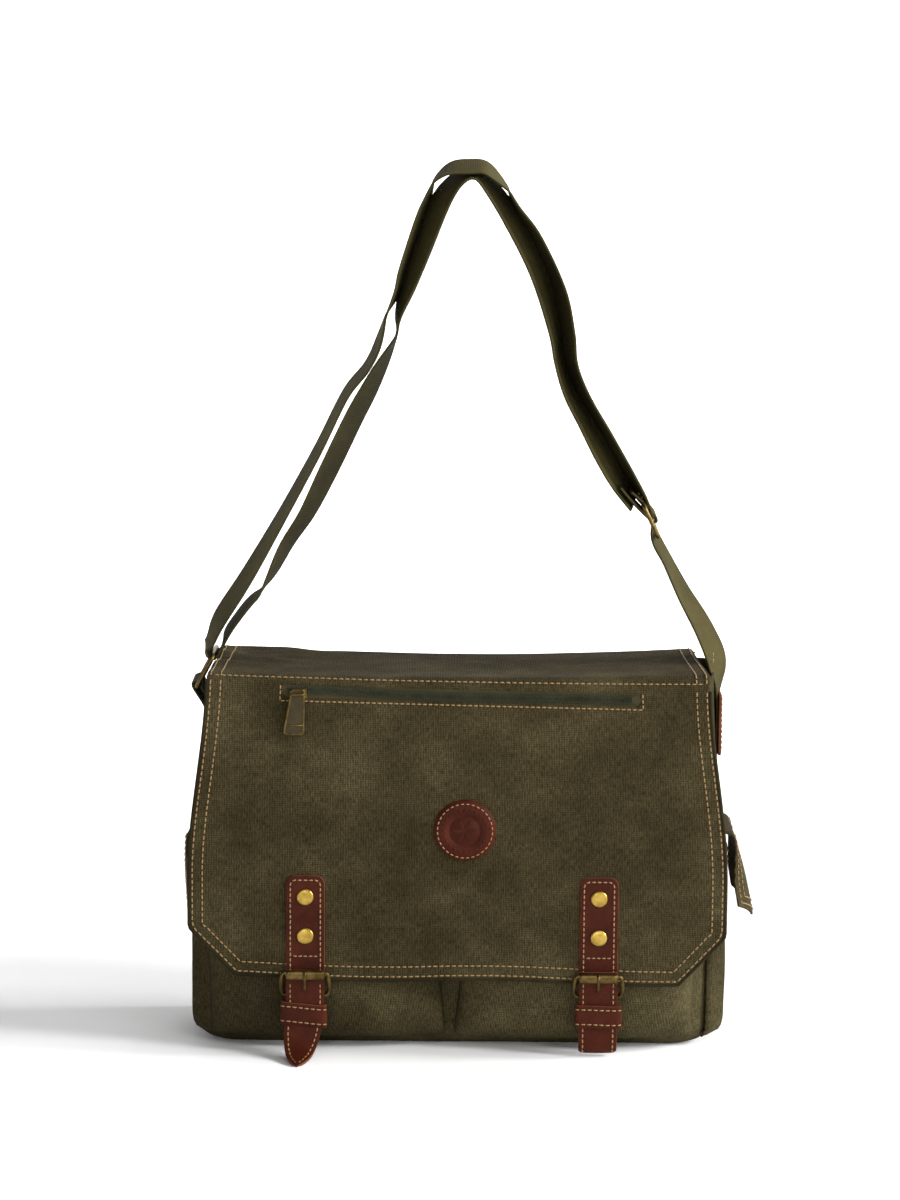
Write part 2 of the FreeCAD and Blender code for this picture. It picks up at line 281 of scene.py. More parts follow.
def webbing_material(name, dark, pale):
    """Woven webbing: fine ribs across the strap, with painted shade that darkens faces turned downwards and
    lightens faces turned up.
    """
    s = Shader(name, 0.9, specular=0.06)
    across = s.wave(s.uv, 1.3 * MM, "Y", 0.0)
    along = s.wave(s.uv, 3.2 * MM, "X", 0.0)
    fibre = s.noise(s.stretch(s.uv, (700, 160, 1)), 1.0, 3.0, 0.6)
    height = s.weigh(across, 0.5, along, 0.25)
    height = s.maths("ADD", height, s.maths("MULTIPLY", fibre, 0.6))
    tone = s.noise(s.place, 14.0, 4.0, 0.6)
    base = s.ramp(tone, [(0.35, dark), (0.65, pale)])
    shade = s.ramp(height, [(0.3, (0.55, 0.55, 0.55)), (1.0, (1.25, 1.23, 1.16))])
    # Painted shade: by the normal's height, faces turned down are darkened and faces turned up are lightened.
    facing = s.nodes.new("ShaderNodeSeparateXYZ")
    s.links.new(s.nodes.new("ShaderNodeNewGeometry").outputs["Normal"], facing.inputs[0])
    upward = s.maths("ADD", s.maths("MULTIPLY", facing.outputs["Z"], 0.5), 0.5)
    painted_shade = s.ramp(upward, [(0.3, (0.5, 0.5, 0.5)), (0.6, (1.1, 1.1, 1.1))])
    s.colour(s.mix(1.0, s.mix(1.0, base, shade, "MULTIPLY"), painted_shade, "MULTIPLY"))
    s.bump(height, 0.3 * MM, 0.8)
    return s.mat


def leather_material(name, dark, pale, roughness=0.5):
    """Waxed leather: fine grain and soft patches of polish."""
    s = Shader(name, roughness, specular=0.08)
    grain = s.noise(s.place, 1500.0, 4.0, 0.6)
    pores = s.nodes.new("ShaderNodeTexVoronoi")
    pores.inputs["Scale"].default_value = 1100.0
    s.links.new(s.place, pores.inputs["Vector"])
    patches = s.noise(s.place, 55.0, 4.0, 0.6)
    base = s.ramp(patches, [(0.35, dark), (0.7, pale)])
    fine = s.ramp(grain, [(0.3, (0.72, 0.72, 0.72)), (0.7, (1.15, 1.15, 1.15))])
    s.colour(s.mix(1.0, base, fine, "MULTIPLY"))
    s.roughness(s.maths("ADD", s.maths("MULTIPLY", patches, 0.25), roughness - 0.1))
    s.bump(s.maths("ADD", s.maths("MULTIPLY", pores.outputs["Distance"], 0.6), grain), 0.12 * MM, 0.6)
    return s.mat


def thread_material(name, colour):
    s = Shader(name, 0.65, specular=0.3, sheen=0.1)
    twist = s.noise(s.place, 1800.0, 2.0, 0.6)
    dark = tuple(c * 0.55 for c in colour)
    s.colour(s.ramp(twist, [(0.35, dark), (0.65, colour)]))
    s.bump(twist, 0.15 * MM, 0.6)
    return s.mat


def metal_material(name, dark, pale, roughness):
    """Plated brass: tarnish in patches, fine brushing and brighter wear."""
    s = Shader(name, roughness, metallic=1.0)
    patches = s.noise(s.place, 190.0, 5.0, 0.65)
    fine = s.noise(s.stretch(s.place, (300, 300, 2600)), 1.0, 3.0, 0.6)
    s.colour(s.ramp(patches, [(0.35, dark), (0.68, pale)]))
    s.roughness(s.maths("ADD", s.maths("MULTIPLY", fine, 0.22), roughness - 0.08))
    s.bump(fine, 0.04 * MM, 0.35)
    return s.mat


def lining_material(name, colour):
    s = Shader(name, 0.95, specular=0.03)
    weave = s.maths("ADD", s.wave(s.uv, 0.9 * MM, "X"), s.wave(s.uv, 0.9 * MM, "Y"))
    tone = s.noise(s.place, 30.0, 4.0, 0.6)
    s.colour(s.ramp(tone, [(0.3, tuple(0.7 * c for c in colour)), (0.7, colour)]))
    s.bump(weave, 0.1 * MM, 0.5)
    return s.mat


CANVAS = canvas_material("canvas", (0.0212, 0.0166, 0.0074), (0.033, 0.0262, 0.0121), (0.0575, 0.047, 0.0236))
# canvas_shade: the same canvas made a little darker for the shell and pockets, which sit under the flap; the
# darkening is painted shade.
CANVAS_SHADED = canvas_material("canvas_shade", (0.019, 0.0151, 0.0068), (0.0306, 0.025, 0.0115),
                              (0.056, 0.0468, 0.023))
WEBBING = webbing_material("webbing", (0.036, 0.03, 0.0105), (0.06, 0.051, 0.0195))
LEATHER = leather_material("leather", (0.035, 0.0062, 0.0022), (0.062, 0.0118, 0.0043))
LEATHER_EDGE = leather_material("leather_edge", (0.1, 0.03, 0.014), (0.2, 0.07, 0.035), 0.6)
THREAD = thread_material("thread", (0.32, 0.195, 0.08))
RIVET_BRASS = metal_material("rivet_brass", (0.28, 0.18, 0.03), (0.5, 0.34, 0.08), 0.36)
ANTIQUE = metal_material("antique_brass", (0.055, 0.036, 0.011), (0.15, 0.1, 0.034), 0.38)
ZIP_CLOTH = lining_material("zip_cloth", (0.05, 0.045, 0.022))
ZIP_COIL = leather_material("zip_coil", (0.018, 0.019, 0.0105), (0.034, 0.036, 0.021), 0.45)
PULL_DARK = leather_material("pull_dark", (0.03, 0.024, 0.012), (0.05, 0.04, 0.02), 0.6)
LINING = lining_material("lining", (0.035, 0.031, 0.024))


# Mesh helpers

def make_object(name, verts, faces, materials, uvs=None, face_materials=None, smooth=True):
    """An object from plain lists; uvs holds one pair for each vertex."""
    mesh = bpy.data.meshes.new(name)
    mesh.from_pydata([tuple(v) for v in verts], [], faces)
    if smooth:
        mesh.polygons.foreach_set("use_smooth", [True] * len(mesh.polygons))
    for material in materials:
        mesh.materials.append(material)
    if face_materials:
        mesh.polygons.foreach_set("material_index", face_materials)
    if uvs:
        layer = mesh.uv_layers.new(name="UVMap")
        for loop in mesh.loops:
            layer.data[loop.index].uv = uvs[loop.vertex_index]
    return add(name, mesh)


def fit(piece, body, slot, *nodes):
    """Ties a piece to its body and hides the CAD nodes that it stands for; slot is not used."""
    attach(piece, body)
    if nodes:
        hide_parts(*nodes)


def middle_of(node):
    """The middle of a CAD node's box."""
    low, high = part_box(node)
    return (Vector(low) + Vector(high)) / 2


def modifier(obj, kind, **settings):
    mod = obj.modifiers.new(kind.lower(), kind)
    for key, value in settings.items():
        setattr(mod, key, value)
    return mod


def thicken(obj, thickness, rim=0):
    """Gives a sheet its thickness, on the side away from its normals."""
    modifier(obj, "SOLIDIFY", thickness=thickness, offset=-1.0, use_even_offset=False,
             material_offset_rim=rim)


def grid(name, across, along, point, materials, closed=False, skip=None, flip=False):
    """A sheet through point(u, v); across and along list the parameters. UVs are lengths in metres."""
    verts, uvs, faces = [], [], []
    rows = [[Vector(point(u, v)) for u in across] for v in along]
    run_v = [0.0]
    middle = len(across) // 2
    for one, two in zip(rows, rows[1:]):
        run_v.append(run_v[-1] + (two[middle] - one[middle]).length)
    for row, v_length in zip(rows, run_v):
        run_u = 0.0
        half = sum((b - a).length for a, b in zip(row, row[1:])) / 2
        for index, spot in enumerate(row):
            if index:
                run_u += (spot - row[index - 1]).length
            verts.append(spot)
            uvs.append((run_u - half, v_length))
    width = len(across)
    cells = width if closed else width - 1
    for j in range(len(along) - 1):
        for i in range(cells):
            if skip and skip(i, j):
                continue
            k = (i + 1) % width
            face = (j * width + i, j * width + k, (j + 1) * width + k, (j + 1) * width + i)
            faces.append(face[::-1] if flip else face)
    return make_object(name, verts, faces, materials, uvs)


def spaced(low, high, count):
    return [low + (high - low) * i / (count - 1) for i in range(count)]


def smoothstep(low, high, value):
    t = min(max((value - low) / (high - low), 0.0), 1.0)
    return t * t * (3 - 2 * t)


def ripple(place, size, seed=0.0):
    """Smooth noise between about -1 and 1 that changes over a length of size."""
    return noise.noise(Vector(place) / size + Vector((seed, seed * 1.7, -seed)))


def resample(points, count):
    """count points, evenly spaced along a line of points."""
    points = [Vector(p) for p in points]
    runs = [0.0]
    for a, b in zip(points, points[1:]):
        runs.append(runs[-1] + (b - a).length)
    out, j = [], 0
    for i in range(count):
        at = runs[-1] * i / (count - 1)
        while j < len(points) - 2 and runs[j + 1] < at:
            j += 1
        span = max(runs[j + 1] - runs[j], 1e-9)
        out.append(points[j].lerp(points[j + 1], min(max((at - runs[j]) / span, 0), 1)))
    return out


def smooth_path(points, steps=8, closed=False):
    """A curve through all the points."""
    points = [Vector(p) for p in points]
    count = len(points)
    out = []
    spans = count if closed else count - 1
    for i in range(spans):
        if closed:
            p0, p1, p2, p3 = (points[(i + k) % count] for k in (-1, 0, 1, 2))
        else:
            p0, p1, p2, p3 = points[max(i - 1, 0)], points[i], points[i + 1], points[min(i + 2, count - 1)]
        for step in range(steps):
            t = step / steps
            out.append(0.5 * (2 * p1 + (p2 - p0) * t + (2 * p0 - 5 * p1 + 4 * p2 - p3) * t * t
                              + (3 * p1 - p0 - 3 * p2 + p3) * t ** 3))
    if not closed:
        out.append(points[-1])
    return out


def ring_faces(rings, sides, base=0, closed=False):
    """Faces between rings of points, with a cap at both ends unless the rings close on themselves."""
    faces = []
    for i in range(rings if closed else rings - 1):
        here, there = base + i * sides, base + (i + 1) % rings * sides
        for k in range(sides):
            m = (k + 1) % sides
            faces.append((here + k, here + m, there + m, there + k))
    if not closed:
        last = base + (rings - 1) * sides
        faces += [tuple(base + k for k in range(sides))[::-1], tuple(last + k for k in range(sides))]
    return faces


def tube(name, path, radius, material, closed=False, sides=10, squash=1.0):
    """A round wire along path."""
    path = [Vector(p) for p in path]
    count = len(path)
    verts = []
    up = Vector((0.13, 0.31, 0.94))
    for i, spot in enumerate(path):
        ahead = path[(i + 1) % count] if closed else path[min(i + 1, count - 1)]
        behind = path[i - 1] if closed or i else path[0]
        tangent = (ahead - behind).normalized()
        side = tangent.cross(up).normalized()
        up = side.cross(tangent).normalized()
        for k in range(sides):
            turn = 2 * math.pi * k / sides
            verts.append(spot + radius * (math.cos(turn) * side + squash * math.sin(turn) * up))
    return make_object(name, verts, ring_faces(count, sides, closed=closed), [material])


class Thread:
    """Collects stitches along many seams into one object."""

    def __init__(self, name):
        self.name = name
        self.verts, self.faces = [], []

    def seam(self, path, normal, pitch=STITCH_PITCH, radius=STITCH_R, fill=0.72):
        """A row of stitches; normal is the outward direction, or a function that gives it at a point."""
        path = [Vector(p) for p in path]
        length = sum((b - a).length for a, b in zip(path, path[1:]))
        count = max(2, round(length / pitch))
        fine = resample(path, count * 4 + 1)
        for i in range(count):
            middle = fine[4 * i + 2]
            out = Vector(normal(middle) if callable(normal) else normal).normalized()
            self.stitch(fine[4 * i], fine[4 * i + 4], middle, out, radius, fill)

    def stitch(self, start, end, middle, out, radius, fill):
        """One plump stitch whose ends dip into the cloth."""
        sides = 6
        half = (end - start) * (fill / 2)
        side = half.cross(out).normalized()
        jitter = side * (0.25 * radius * noise.noise(middle * 900))
        profile = ((-1, 0.35, -0.4), (-0.72, 0.9, 0.25), (0, 1.0, 0.5), (0.72, 0.9, 0.25), (1, 0.35, -0.4))
        self.faces += ring_faces(len(profile), sides, base=len(self.verts))
        for t, size, lift in profile:
            centre = middle + half * t + out * (radius * lift) + jitter * t
            for k in range(sides):
                turn = 2 * math.pi * k / sides
                offset = side * (1.15 * math.cos(turn)) + out * math.sin(turn)
                self.verts.append(centre + offset * (radius * size))

    def build(self, material=None):
        return make_object(self.name, self.verts, self.faces, [material or THREAD])


def plate(name, outline, y_back, thickness, materials, bevel=0.5 * MM):
    """A flat piece that faces -Y: outline is (x, z) points anticlockwise seen from the front."""
    count = len(outline)
    verts = [(x, y_back - thickness, z) for x, z in outline] + [(x, y_back, z) for x, z in outline]
    faces = [tuple(range(count)), tuple(range(count, 2 * count))[::-1]]
    marks = [0, 0]
    for i in range(count):
        j = (i + 1) % count
        faces.append((j, i, count + i, count + j))
        marks.append(min(1, len(materials) - 1))
    obj = make_object(name, verts, faces, materials, None, marks, smooth=False)
    modifier(obj, "BEVEL", width=bevel, segments=2, limit_method="ANGLE", angle_limit=math.radians(50))
    return obj


def rounded(x0, x1, z0, z1, radii, steps=6):
    """A rectangle's outline anticlockwise from the low left, with a radius for each corner."""
    spots = [(x0, z0, 1, 1, math.pi), (x1, z0, -1, 1, 1.5 * math.pi), (x1, z1, -1, -1, 0.0),
             (x0, z1, 1, -1, 0.5 * math.pi)]
    out = []
    for (x, z, sx, sz, begin), radius in zip(spots, radii):
        for step in range(steps + 1):
            turn = begin + math.pi / 2 * step / steps
            centre = (x + sx * radius, z + sz * radius)
            out.append((centre[0] + radius * math.cos(turn), centre[1] + radius * math.sin(turn)))
            if radius == 0:
                break
    return out


def inset(outline, amount):
    """The outline drawn in by amount, as a closed path."""
    count = len(outline)
    out = []
    for i in range(count):
        a, b = Vector(outline[i - 1]), Vector(outline[(i + 1) % count])
        tangent = (b - a).normalized()
        out.append(Vector(outline[i]) + amount * Vector((-tangent.y, tangent.x)))
    return out


def lathe(name, profile, centre, material, sides=28):
    """A round piece whose axis runs front to back: profile is (radius, distance forward)."""
    verts = []
    for radius, forward in profile:
        for k in range(sides):
            turn = 2 * math.pi * k / sides
            verts.append((centre[0] + radius * math.cos(turn), centre[1] - forward,
                          centre[2] + radius * math.sin(turn)))
    return make_object(name, verts, ring_faces(len(profile), sides), [material])


def smooth_corners(points, radius, steps=4):
    """Rounds every corner of a closed outline."""
    out = []
    count = len(points)
    for i in range(count):
        here = Vector(points[i])
        back = (Vector(points[i - 1]) - here).normalized() * radius
        ahead = (Vector(points[(i + 1) % count]) - here).normalized() * radius
        for step in range(steps + 1):
            t = step / steps
            out.append(tuple((1 - t) ** 2 * (here + back) + 2 * t * (1 - t) * here + t * t * (here + ahead)))
    return out


def on_plane(path, y):
    return [Vector((p[0], y, p[1])) for p in path]


# Flap: one sheet from the back edge, over the top and down the front

BACK_R = 8 * MM
BACK_DROP = 6 * MM
FLAP_BACK_Y = HALF_D + 3.5 * MM - BACK_R
FLAP_START = -(BACK_R * math.pi / 2 + BACK_DROP)
BEND_R = 11 * MM
FLAP_TOP_RUN = FLAP_BACK_Y - FLAP_Y - BEND_R
FLAP_BEND_RUN = BEND_R * math.pi / 2
FLAP_DROP = FLAP_Z - BEND_R - FLAP_LOW[2]
FLAP_RUN = FLAP_TOP_RUN + FLAP_BEND_RUN + FLAP_DROP
FLAP_TOP_HALF = 174.5 * MM
FLAP_WIDE_HALF = 188 * MM
FLAP_LOW_HALF = 154 * MM
CHAMFER_Z = 90 * MM
HEM_SLANT = 1.35
SEAM_Z = FLAP_Z - 5.5 * MM
ZIP_MIDDLE = (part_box("zip_tape")[0][2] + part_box("zip_tape")[1][2]) / 2
ZIP_TOP, ZIP_LOW = ZIP_MIDDLE + 4.4 * MM, ZIP_MIDDLE - 5.2 * MM
ZIP_LEFT, ZIP_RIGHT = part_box("zip_tape")[0][0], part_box("zip_tape")[1][0]


def run_at(z):
    """The run along the flap at a height on its front."""
    return FLAP_RUN - (z - FLAP_LOW[2])


def flap_line(run):
    """Middle of the outer face at a run: y, z and the outward normal. Runs below 0 hang down the back."""
    if run < 0:
        turn = min(-run / BACK_R, math.pi / 2)
        hang = max(-run - BACK_R * math.pi / 2, 0.0)
        return (FLAP_BACK_Y + BACK_R * math.sin(turn), FLAP_Z - BACK_R + BACK_R * math.cos(turn) - hang,
                math.sin(turn), math.cos(turn))
    if run <= FLAP_TOP_RUN:
        return FLAP_BACK_Y - run, FLAP_Z, 0.0, 1.0
    if run <= FLAP_TOP_RUN + FLAP_BEND_RUN:
        turn = (run - FLAP_TOP_RUN) / BEND_R
        return (FLAP_Y + BEND_R - BEND_R * math.sin(turn), FLAP_Z - BEND_R + BEND_R * math.cos(turn),
                -math.sin(turn), math.cos(turn))
    down = run - FLAP_TOP_RUN - FLAP_BEND_RUN
    return FLAP_Y, FLAP_Z - BEND_R - down, -1.0, 0.0


def flap_half(z, run):
    """Half the flap's width: it widens down the front and is cut off at the low corners."""
    if run < FLAP_TOP_RUN:
        return FLAP_TOP_HALF - 4 * MM * (1 - run / FLAP_TOP_RUN)
    wide = FLAP_TOP_HALF + (FLAP_WIDE_HALF - FLAP_TOP_HALF) * smoothstep(FLAP_Z, 125 * MM, z)
    cut = (CHAMFER_Z - z) / (CHAMFER_Z - FLAP_LOW[2])
    corner = 0.09
    if cut > 0:
        shift = cut - corner / 2 if cut > corner else cut * cut / (2 * corner)
        wide -= (FLAP_WIDE_HALF - FLAP_LOW_HALF) * max(shift, 0.0)
    return wide


def flap_point(u, run, lift=0.0):
    """A spot on the flap's outer face: u runs from -1 to 1 across it."""
    y, z, ny, nz = flap_line(run)
    x = u * flap_half(z, run)
    inner = 1 - abs(u) ** 4
    top = smoothstep(FLAP_TOP_RUN + FLAP_BEND_RUN, 0, run)
    dip = -5.0 * MM * (1 - u * u) * smoothstep(FLAP_TOP_RUN + 2 * FLAP_BEND_RUN, FLAP_TOP_RUN - 0.03, run)
    place = Vector((x, y, z))
    wave = 1.3 * MM * ripple(place, 70 * MM, 3.0) + 0.5 * MM * ripple(place, 24 * MM, 7.0)
    fold = 0.0
    if run < run_at(SEAM_Z):
        fold = 1.0 * MM * smoothstep(run_at(SEAM_Z) - 4 * MM, run_at(SEAM_Z) - 0.6 * MM, run)
    corner = smoothstep(0.3, 0.95, -u) * top
    crease = 3.4 * MM * corner * ripple(Vector((x * 0.35, y, x * 0.3)), 14 * MM, 11.0)
    front_part = smoothstep(FLAP_Z - BEND_R, FLAP_Z - 60 * MM, z)
    belly = -1.6 * MM * inner * front_part * math.sin(math.pi * min(max((z - 0.05) / 0.2, 0), 1))
    near_zip = smoothstep(235 * MM, 246 * MM, z) * (1 - top)
    out = lift + fold + crease + wave * (0.35 + 0.65 * front_part) * (1 - 0.6 * near_zip) - belly
    droop = 1.9 * MM + 1.5 * MM * smoothstep(FLAP_Z - 90 * MM, FLAP_Z - 20 * MM, z)
    skew = -droop * u * smoothstep(FLAP_Z, SEAM_Z, z)
    hem = 1.2 * MM * math.sin(5.0 * u + 0.6) * front_part * smoothstep(0.12, 0.054, z)
    return Vector((x - 2.0 * MM * (u > 0) * u * top, y + ny * out, z + dip + nz * out + skew + hem))


def flap_normal(point):
    """Forward on the flap's front, turning up over its fold."""
    slope = smoothstep(FLAP_Z - BEND_R - 2 * MM, FLAP_Z - 1.5 * MM, point[2])
    return Vector((0, -1 + slope, slope))


def graded(marks, step):
    """Parameters that include every mark, no further apart than step."""
    out = [marks[0]]
    for low, high in zip(marks, marks[1:]):
        count = max(1, math.ceil((high - low) / step))
        out += [low + (high - low) * i / count for i in range(1, count + 1)]
    return out


def make_flap():
    """The flap's sheet, with a window cut for the zip; also gives its flat area."""
    half = flap_half(ZIP_TOP, run_at(ZIP_TOP))
    left, right = ZIP_LEFT / half, ZIP_RIGHT / half
    across = graded([-1.0, left, right, 1.0], 0.035)
    seam = run_at(SEAM_Z)
    window_top, window_low = run_at(ZIP_TOP), run_at(ZIP_LOW)
    marks = [FLAP_START, 0.0, FLAP_TOP_RUN, seam - 4 * MM, seam - 0.7 * MM, seam, window_top, window_low,
             run_at(CHAMFER_Z), FLAP_RUN]
    along = graded(marks, 5.5 * MM)
    slack = 1e-6

    def in_window(i, j):
        inside_x = left - slack <= across[i] and across[i + 1] <= right + slack
        inside_z = window_top - slack <= along[j] and along[j + 1] <= window_low + slack
        return inside_x and inside_z

    flap = grid("flap_sheet", across, along, flap_point, [CANVAS], skip=in_window, flip=True)
    area = sum(p.area for p in flap.data.polygons)
    thicken(flap, CANVAS_T)
    modifier(flap, "SUBSURF", levels=1, render_levels=1)
    return flap, area


def flap_thread():
    """Double rows round the sides and hem, a row above the seam and a box round the zip."""
    thread = Thread("flap_stitching")
    hem_rows = (3.0 * MM, 10.0 * MM)
    for row in hem_rows:
        low = FLAP_RUN - row
        runs = spaced(run_at(SEAM_Z) + 1 * MM, low, 90)
        for sign in (-1, 1):
            path = []
            for run in runs:
                z = flap_line(run)[1]
                slant = HEM_SLANT if z < CHAMFER_Z else 1.0
                u = sign * (1 - slant * row / flap_half(z, run))
                path.append(flap_point(u, run, 0.15 * MM))
            thread.seam(path, flap_normal)
        end = 1 - HEM_SLANT * row / flap_half(FLAP_LOW[2] + row, low)
        thread.seam([flap_point(u, low, 0.15 * MM) for u in spaced(-end, end, 60)], flap_normal)
    side_run = spaced(0, run_at(SEAM_Z) - 3 * MM, 50)
    for sign in (-1, 1):
        for row in hem_rows:
            u = sign * (1 - row / FLAP_TOP_HALF)
            thread.seam([flap_point(u, run, 0.15 * MM) for run in side_run], flap_normal)
    seam = run_at(SEAM_Z) - 3.0 * MM
    thread.seam([flap_point(u, seam, 0.2 * MM) for u in spaced(-0.97, 0.97, 80)], flap_normal)
    half = flap_half(ZIP_TOP, run_at(ZIP_TOP))
    low, top = run_at(ZIP_LOW - 2.2 * MM), run_at(ZIP_TOP)
    ends = [(ZIP_LEFT - 2.2 * MM) / half, (ZIP_RIGHT + 2.2 * MM) / half]
    thread.seam([flap_point(u, low, 0.15 * MM) for u in spaced(ends[0], ends[1], 60)], flap_normal, 3.9 * MM)
    for u in ends:
        thread.seam([flap_point(u, run, 0.15 * MM) for run in spaced(top, low, 8)], flap_normal, 3.6 * MM)
    return thread.build()


def flap_hem_binding():
    """The turned hem: a low ridge along the flap's cut edge."""
    runs = spaced(run_at(SEAM_Z) + 1 * MM, FLAP_RUN - 0.3 * MM, 120)
    left = [flap_point(-1 + 0.004, run, -0.9 * MM) for run in runs]
    low = [flap_point(u, FLAP_RUN - 0.3 * MM, -0.9 * MM) for u in spaced(-0.99, 0.99, 60)]
    right = [flap_point(1 - 0.004, run, -0.9 * MM) for run in reversed(runs)]
    return tube("flap_hem", resample(left + low + right, 260), 1.35 * MM, CANVAS, sides=8)


def bend_with_flap(piece):
    """Bakes the piece's transform into its mesh."""
    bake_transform(piece)


def make_flap_pieces():
    flap, area = make_flap()
    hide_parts("flap_top", "flap_front")
    hem = flap_hem_binding()
    for piece in (flap, hem, flap_thread()):
        bend_with_flap(piece)


def make_flap_back():
    """The strip that joins the flap to the bag's back and rolls in under the flap's top."""
    def point(u, v):
        wobble = 0.6 * MM * ripple((u, v, 0), 0.3, 5.0)
        high = FLAP_Z - 5.2 * MM * (1 - u * u) - 2.6 * MM
        path = [(1.6 * MM, 200 * MM), (1.9 * MM, 235 * MM), (1.4 * MM, high - 8 * MM),
                (-2 * MM, high - 1.2 * MM), (-14 * MM, high)]
        spot = v * (len(path) - 1)
        i = min(int(spot), len(path) - 2)
        y, z = Vector(path[i]).lerp(Vector(path[i + 1]), spot - i)
        return u * (FLAP_TOP_HALF - 3.6 * MM), HALF_D + y + wobble * v * (1 - v), z

    back = grid("flap_back_panel", spaced(-1, 1, 50), spaced(0, 1, 24), point, [CANVAS])
    thicken(back, 1.4 * MM)
    modifier(back, "SUBSURF", levels=1, render_levels=1)
    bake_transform(back)
    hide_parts("flap_back_strip")
    thread = Thread("flap_back_stitching")
    for z in (203 * MM, 210 * MM):
        thread.seam([(x, HALF_D + 2.3 * MM, z) for x in spaced(-168 * MM, 168 * MM, 40)], BACK)
    fit(thread.build(), "bag", "canvas")


# Bag body

FOOT_R = 13 * MM
BODY_CORNER_R = 22 * MM
LINING_GAP = 3.2 * MM
SHELL_TURNS = [i / 132 for i in range(132)]


def body_outline(turn, half_x, half_y, radius):
    """A rounded rectangle by angle: turn runs once round from 0 to 1."""
    straight_x, straight_y = 2 * (half_x - radius), 2 * (half_y - radius)
    arc = math.pi / 2 * radius
    at = turn * (2 * (straight_x + straight_y) + 4 * arc)
    x, y, heading = -half_x + radius, -half_y, 0.0
    for kind, length in [("straight", straight_x), ("arc", arc), ("straight", straight_y), ("arc", arc)] * 2:
        step = min(at, length)
        if kind == "arc":
            begin, heading = heading, heading + step / radius
            x += radius * (math.sin(heading) - math.sin(begin))
            y += radius * (math.cos(begin) - math.cos(heading))
        else:
            x += step * math.cos(heading)
            y += step * math.sin(heading)
        at -= step
        if at <= 0:
            break
    return x, y


def foot_tuck(z):
    """How far the rounded foot draws in at a height."""
    return FOOT_R - math.sqrt(max(FOOT_R ** 2 - (FOOT_R - min(z, FOOT_R)) ** 2, 0.0))


def shell_point(turn, z, shrink=0.0):
    """A spot on the shell: its foot draws in, its sides swell, and its top narrows and sags."""
    tuck = foot_tuck(z)
    swell = 3.0 * MM * math.sin(math.pi * min(max(z / BODY_TOP, 0), 1))
    half_x = HALF_W - 1.0 * MM + swell - tuck - shrink
    x, y = body_outline(turn, half_x, HALF_D - 0.8 * MM - tuck - shrink, BODY_CORNER_R)
    narrow = 13 * MM if x < 0 else 2 * MM
    x -= narrow * smoothstep(0.55, 0.95, z / BODY_TOP) * x / HALF_W
    x += (0.08 if x > 0 else 0.02) * y * abs(x) / HALF_W
    rough = ripple((x, y, z), 60 * MM, 2.0) * 1.6 * MM + ripple((x, y, z), 19 * MM, 4.0) * 0.5 * MM
    rough *= (1.0 if y > 0 else 0.55) * (1 - 0.3 * smoothstep(0.6, 1.0, abs(x) / half_x))
    outward = Vector((x, y * 3, 0)).normalized()
    drop = -6 * MM * (1 - (x / HALF_W) ** 2) * smoothstep(0.55, 1.0, z / BODY_TOP)
    return x + outward.x * rough, y + outward.y * rough, max(z + drop, 0.0)


def close_foot(obj, poke=False):
    """Fills the lowest ring of a closed sheet that runs round the bag."""
    work = bmesh.new()
    work.from_mesh(obj.data)
    work.verts.ensure_lookup_table()
    cap = work.faces.new([work.verts[i] for i in range(len(SHELL_TURNS))][::-1])
    if poke:
        bmesh.ops.poke(work, faces=[cap])
    work.to_mesh(obj.data)
    work.free()


def make_body():
    """The shell, the lining inside it and the hem's stitches."""
    heights = [0.0, 0.8 * MM, 2.5 * MM, 5 * MM, 9 * MM] + spaced(14 * MM, BODY_TOP - 1.5 * MM, 34)
    shell = grid("bag_shell", SHELL_TURNS, heights, shell_point, [CANVAS_SHADED], closed=True)
    close_foot(shell, poke=True)
    shell.data.polygons.foreach_set("use_smooth", [True] * len(shell.data.polygons))
    thicken(shell, CANVAS_T)
    fit(shell, "bag", "canvas", "base_panel", "body_front", "body_back", "gusset_left", "gusset_right")
    heights = [4 * MM] + spaced(16 * MM, BODY_TOP - 8 * MM, 16)
    lining = grid("bag_lining", SHELL_TURNS, heights, lambda turn, z: shell_point(turn, z, LINING_GAP),
                  [LINING], closed=True)
    close_foot(lining)
    thicken(lining, 0.8 * MM)
    fit(lining, "bag", "lining", "lining")
    thread = Thread("body_stitching")
    rows = ((0.02, 0.38, 80, FRONT), (0.52, 0.88, 80, BACK), (0.42, 0.48, 20, (1, 0, 0)),
            (0.93, 0.985, 20, (-1, 0, 0)))
    for first, last, spots, normal in rows:
        row = [shell_point(turn, BODY_TOP - 9 * MM, -0.25 * MM) for turn in spaced(first, last, spots)]
        thread.seam(row, normal)
    fit(thread.build(), "bag", "canvas")


# Pockets

POCKET_FOOT = 7 * MM


def pouch_shape(u, v):
    """How far a puffed pocket stands off its backing: 0 at the sides and foot, 1 in the middle."""
    side = (1 - abs(2 * u - 1) ** 5) ** 0.5 if abs(2 * u - 1) < 1 else 0.0
    foot = min(v / 0.12, 1.0)
    return side * math.sqrt(max(1 - (1 - foot) ** 2, 0.0))


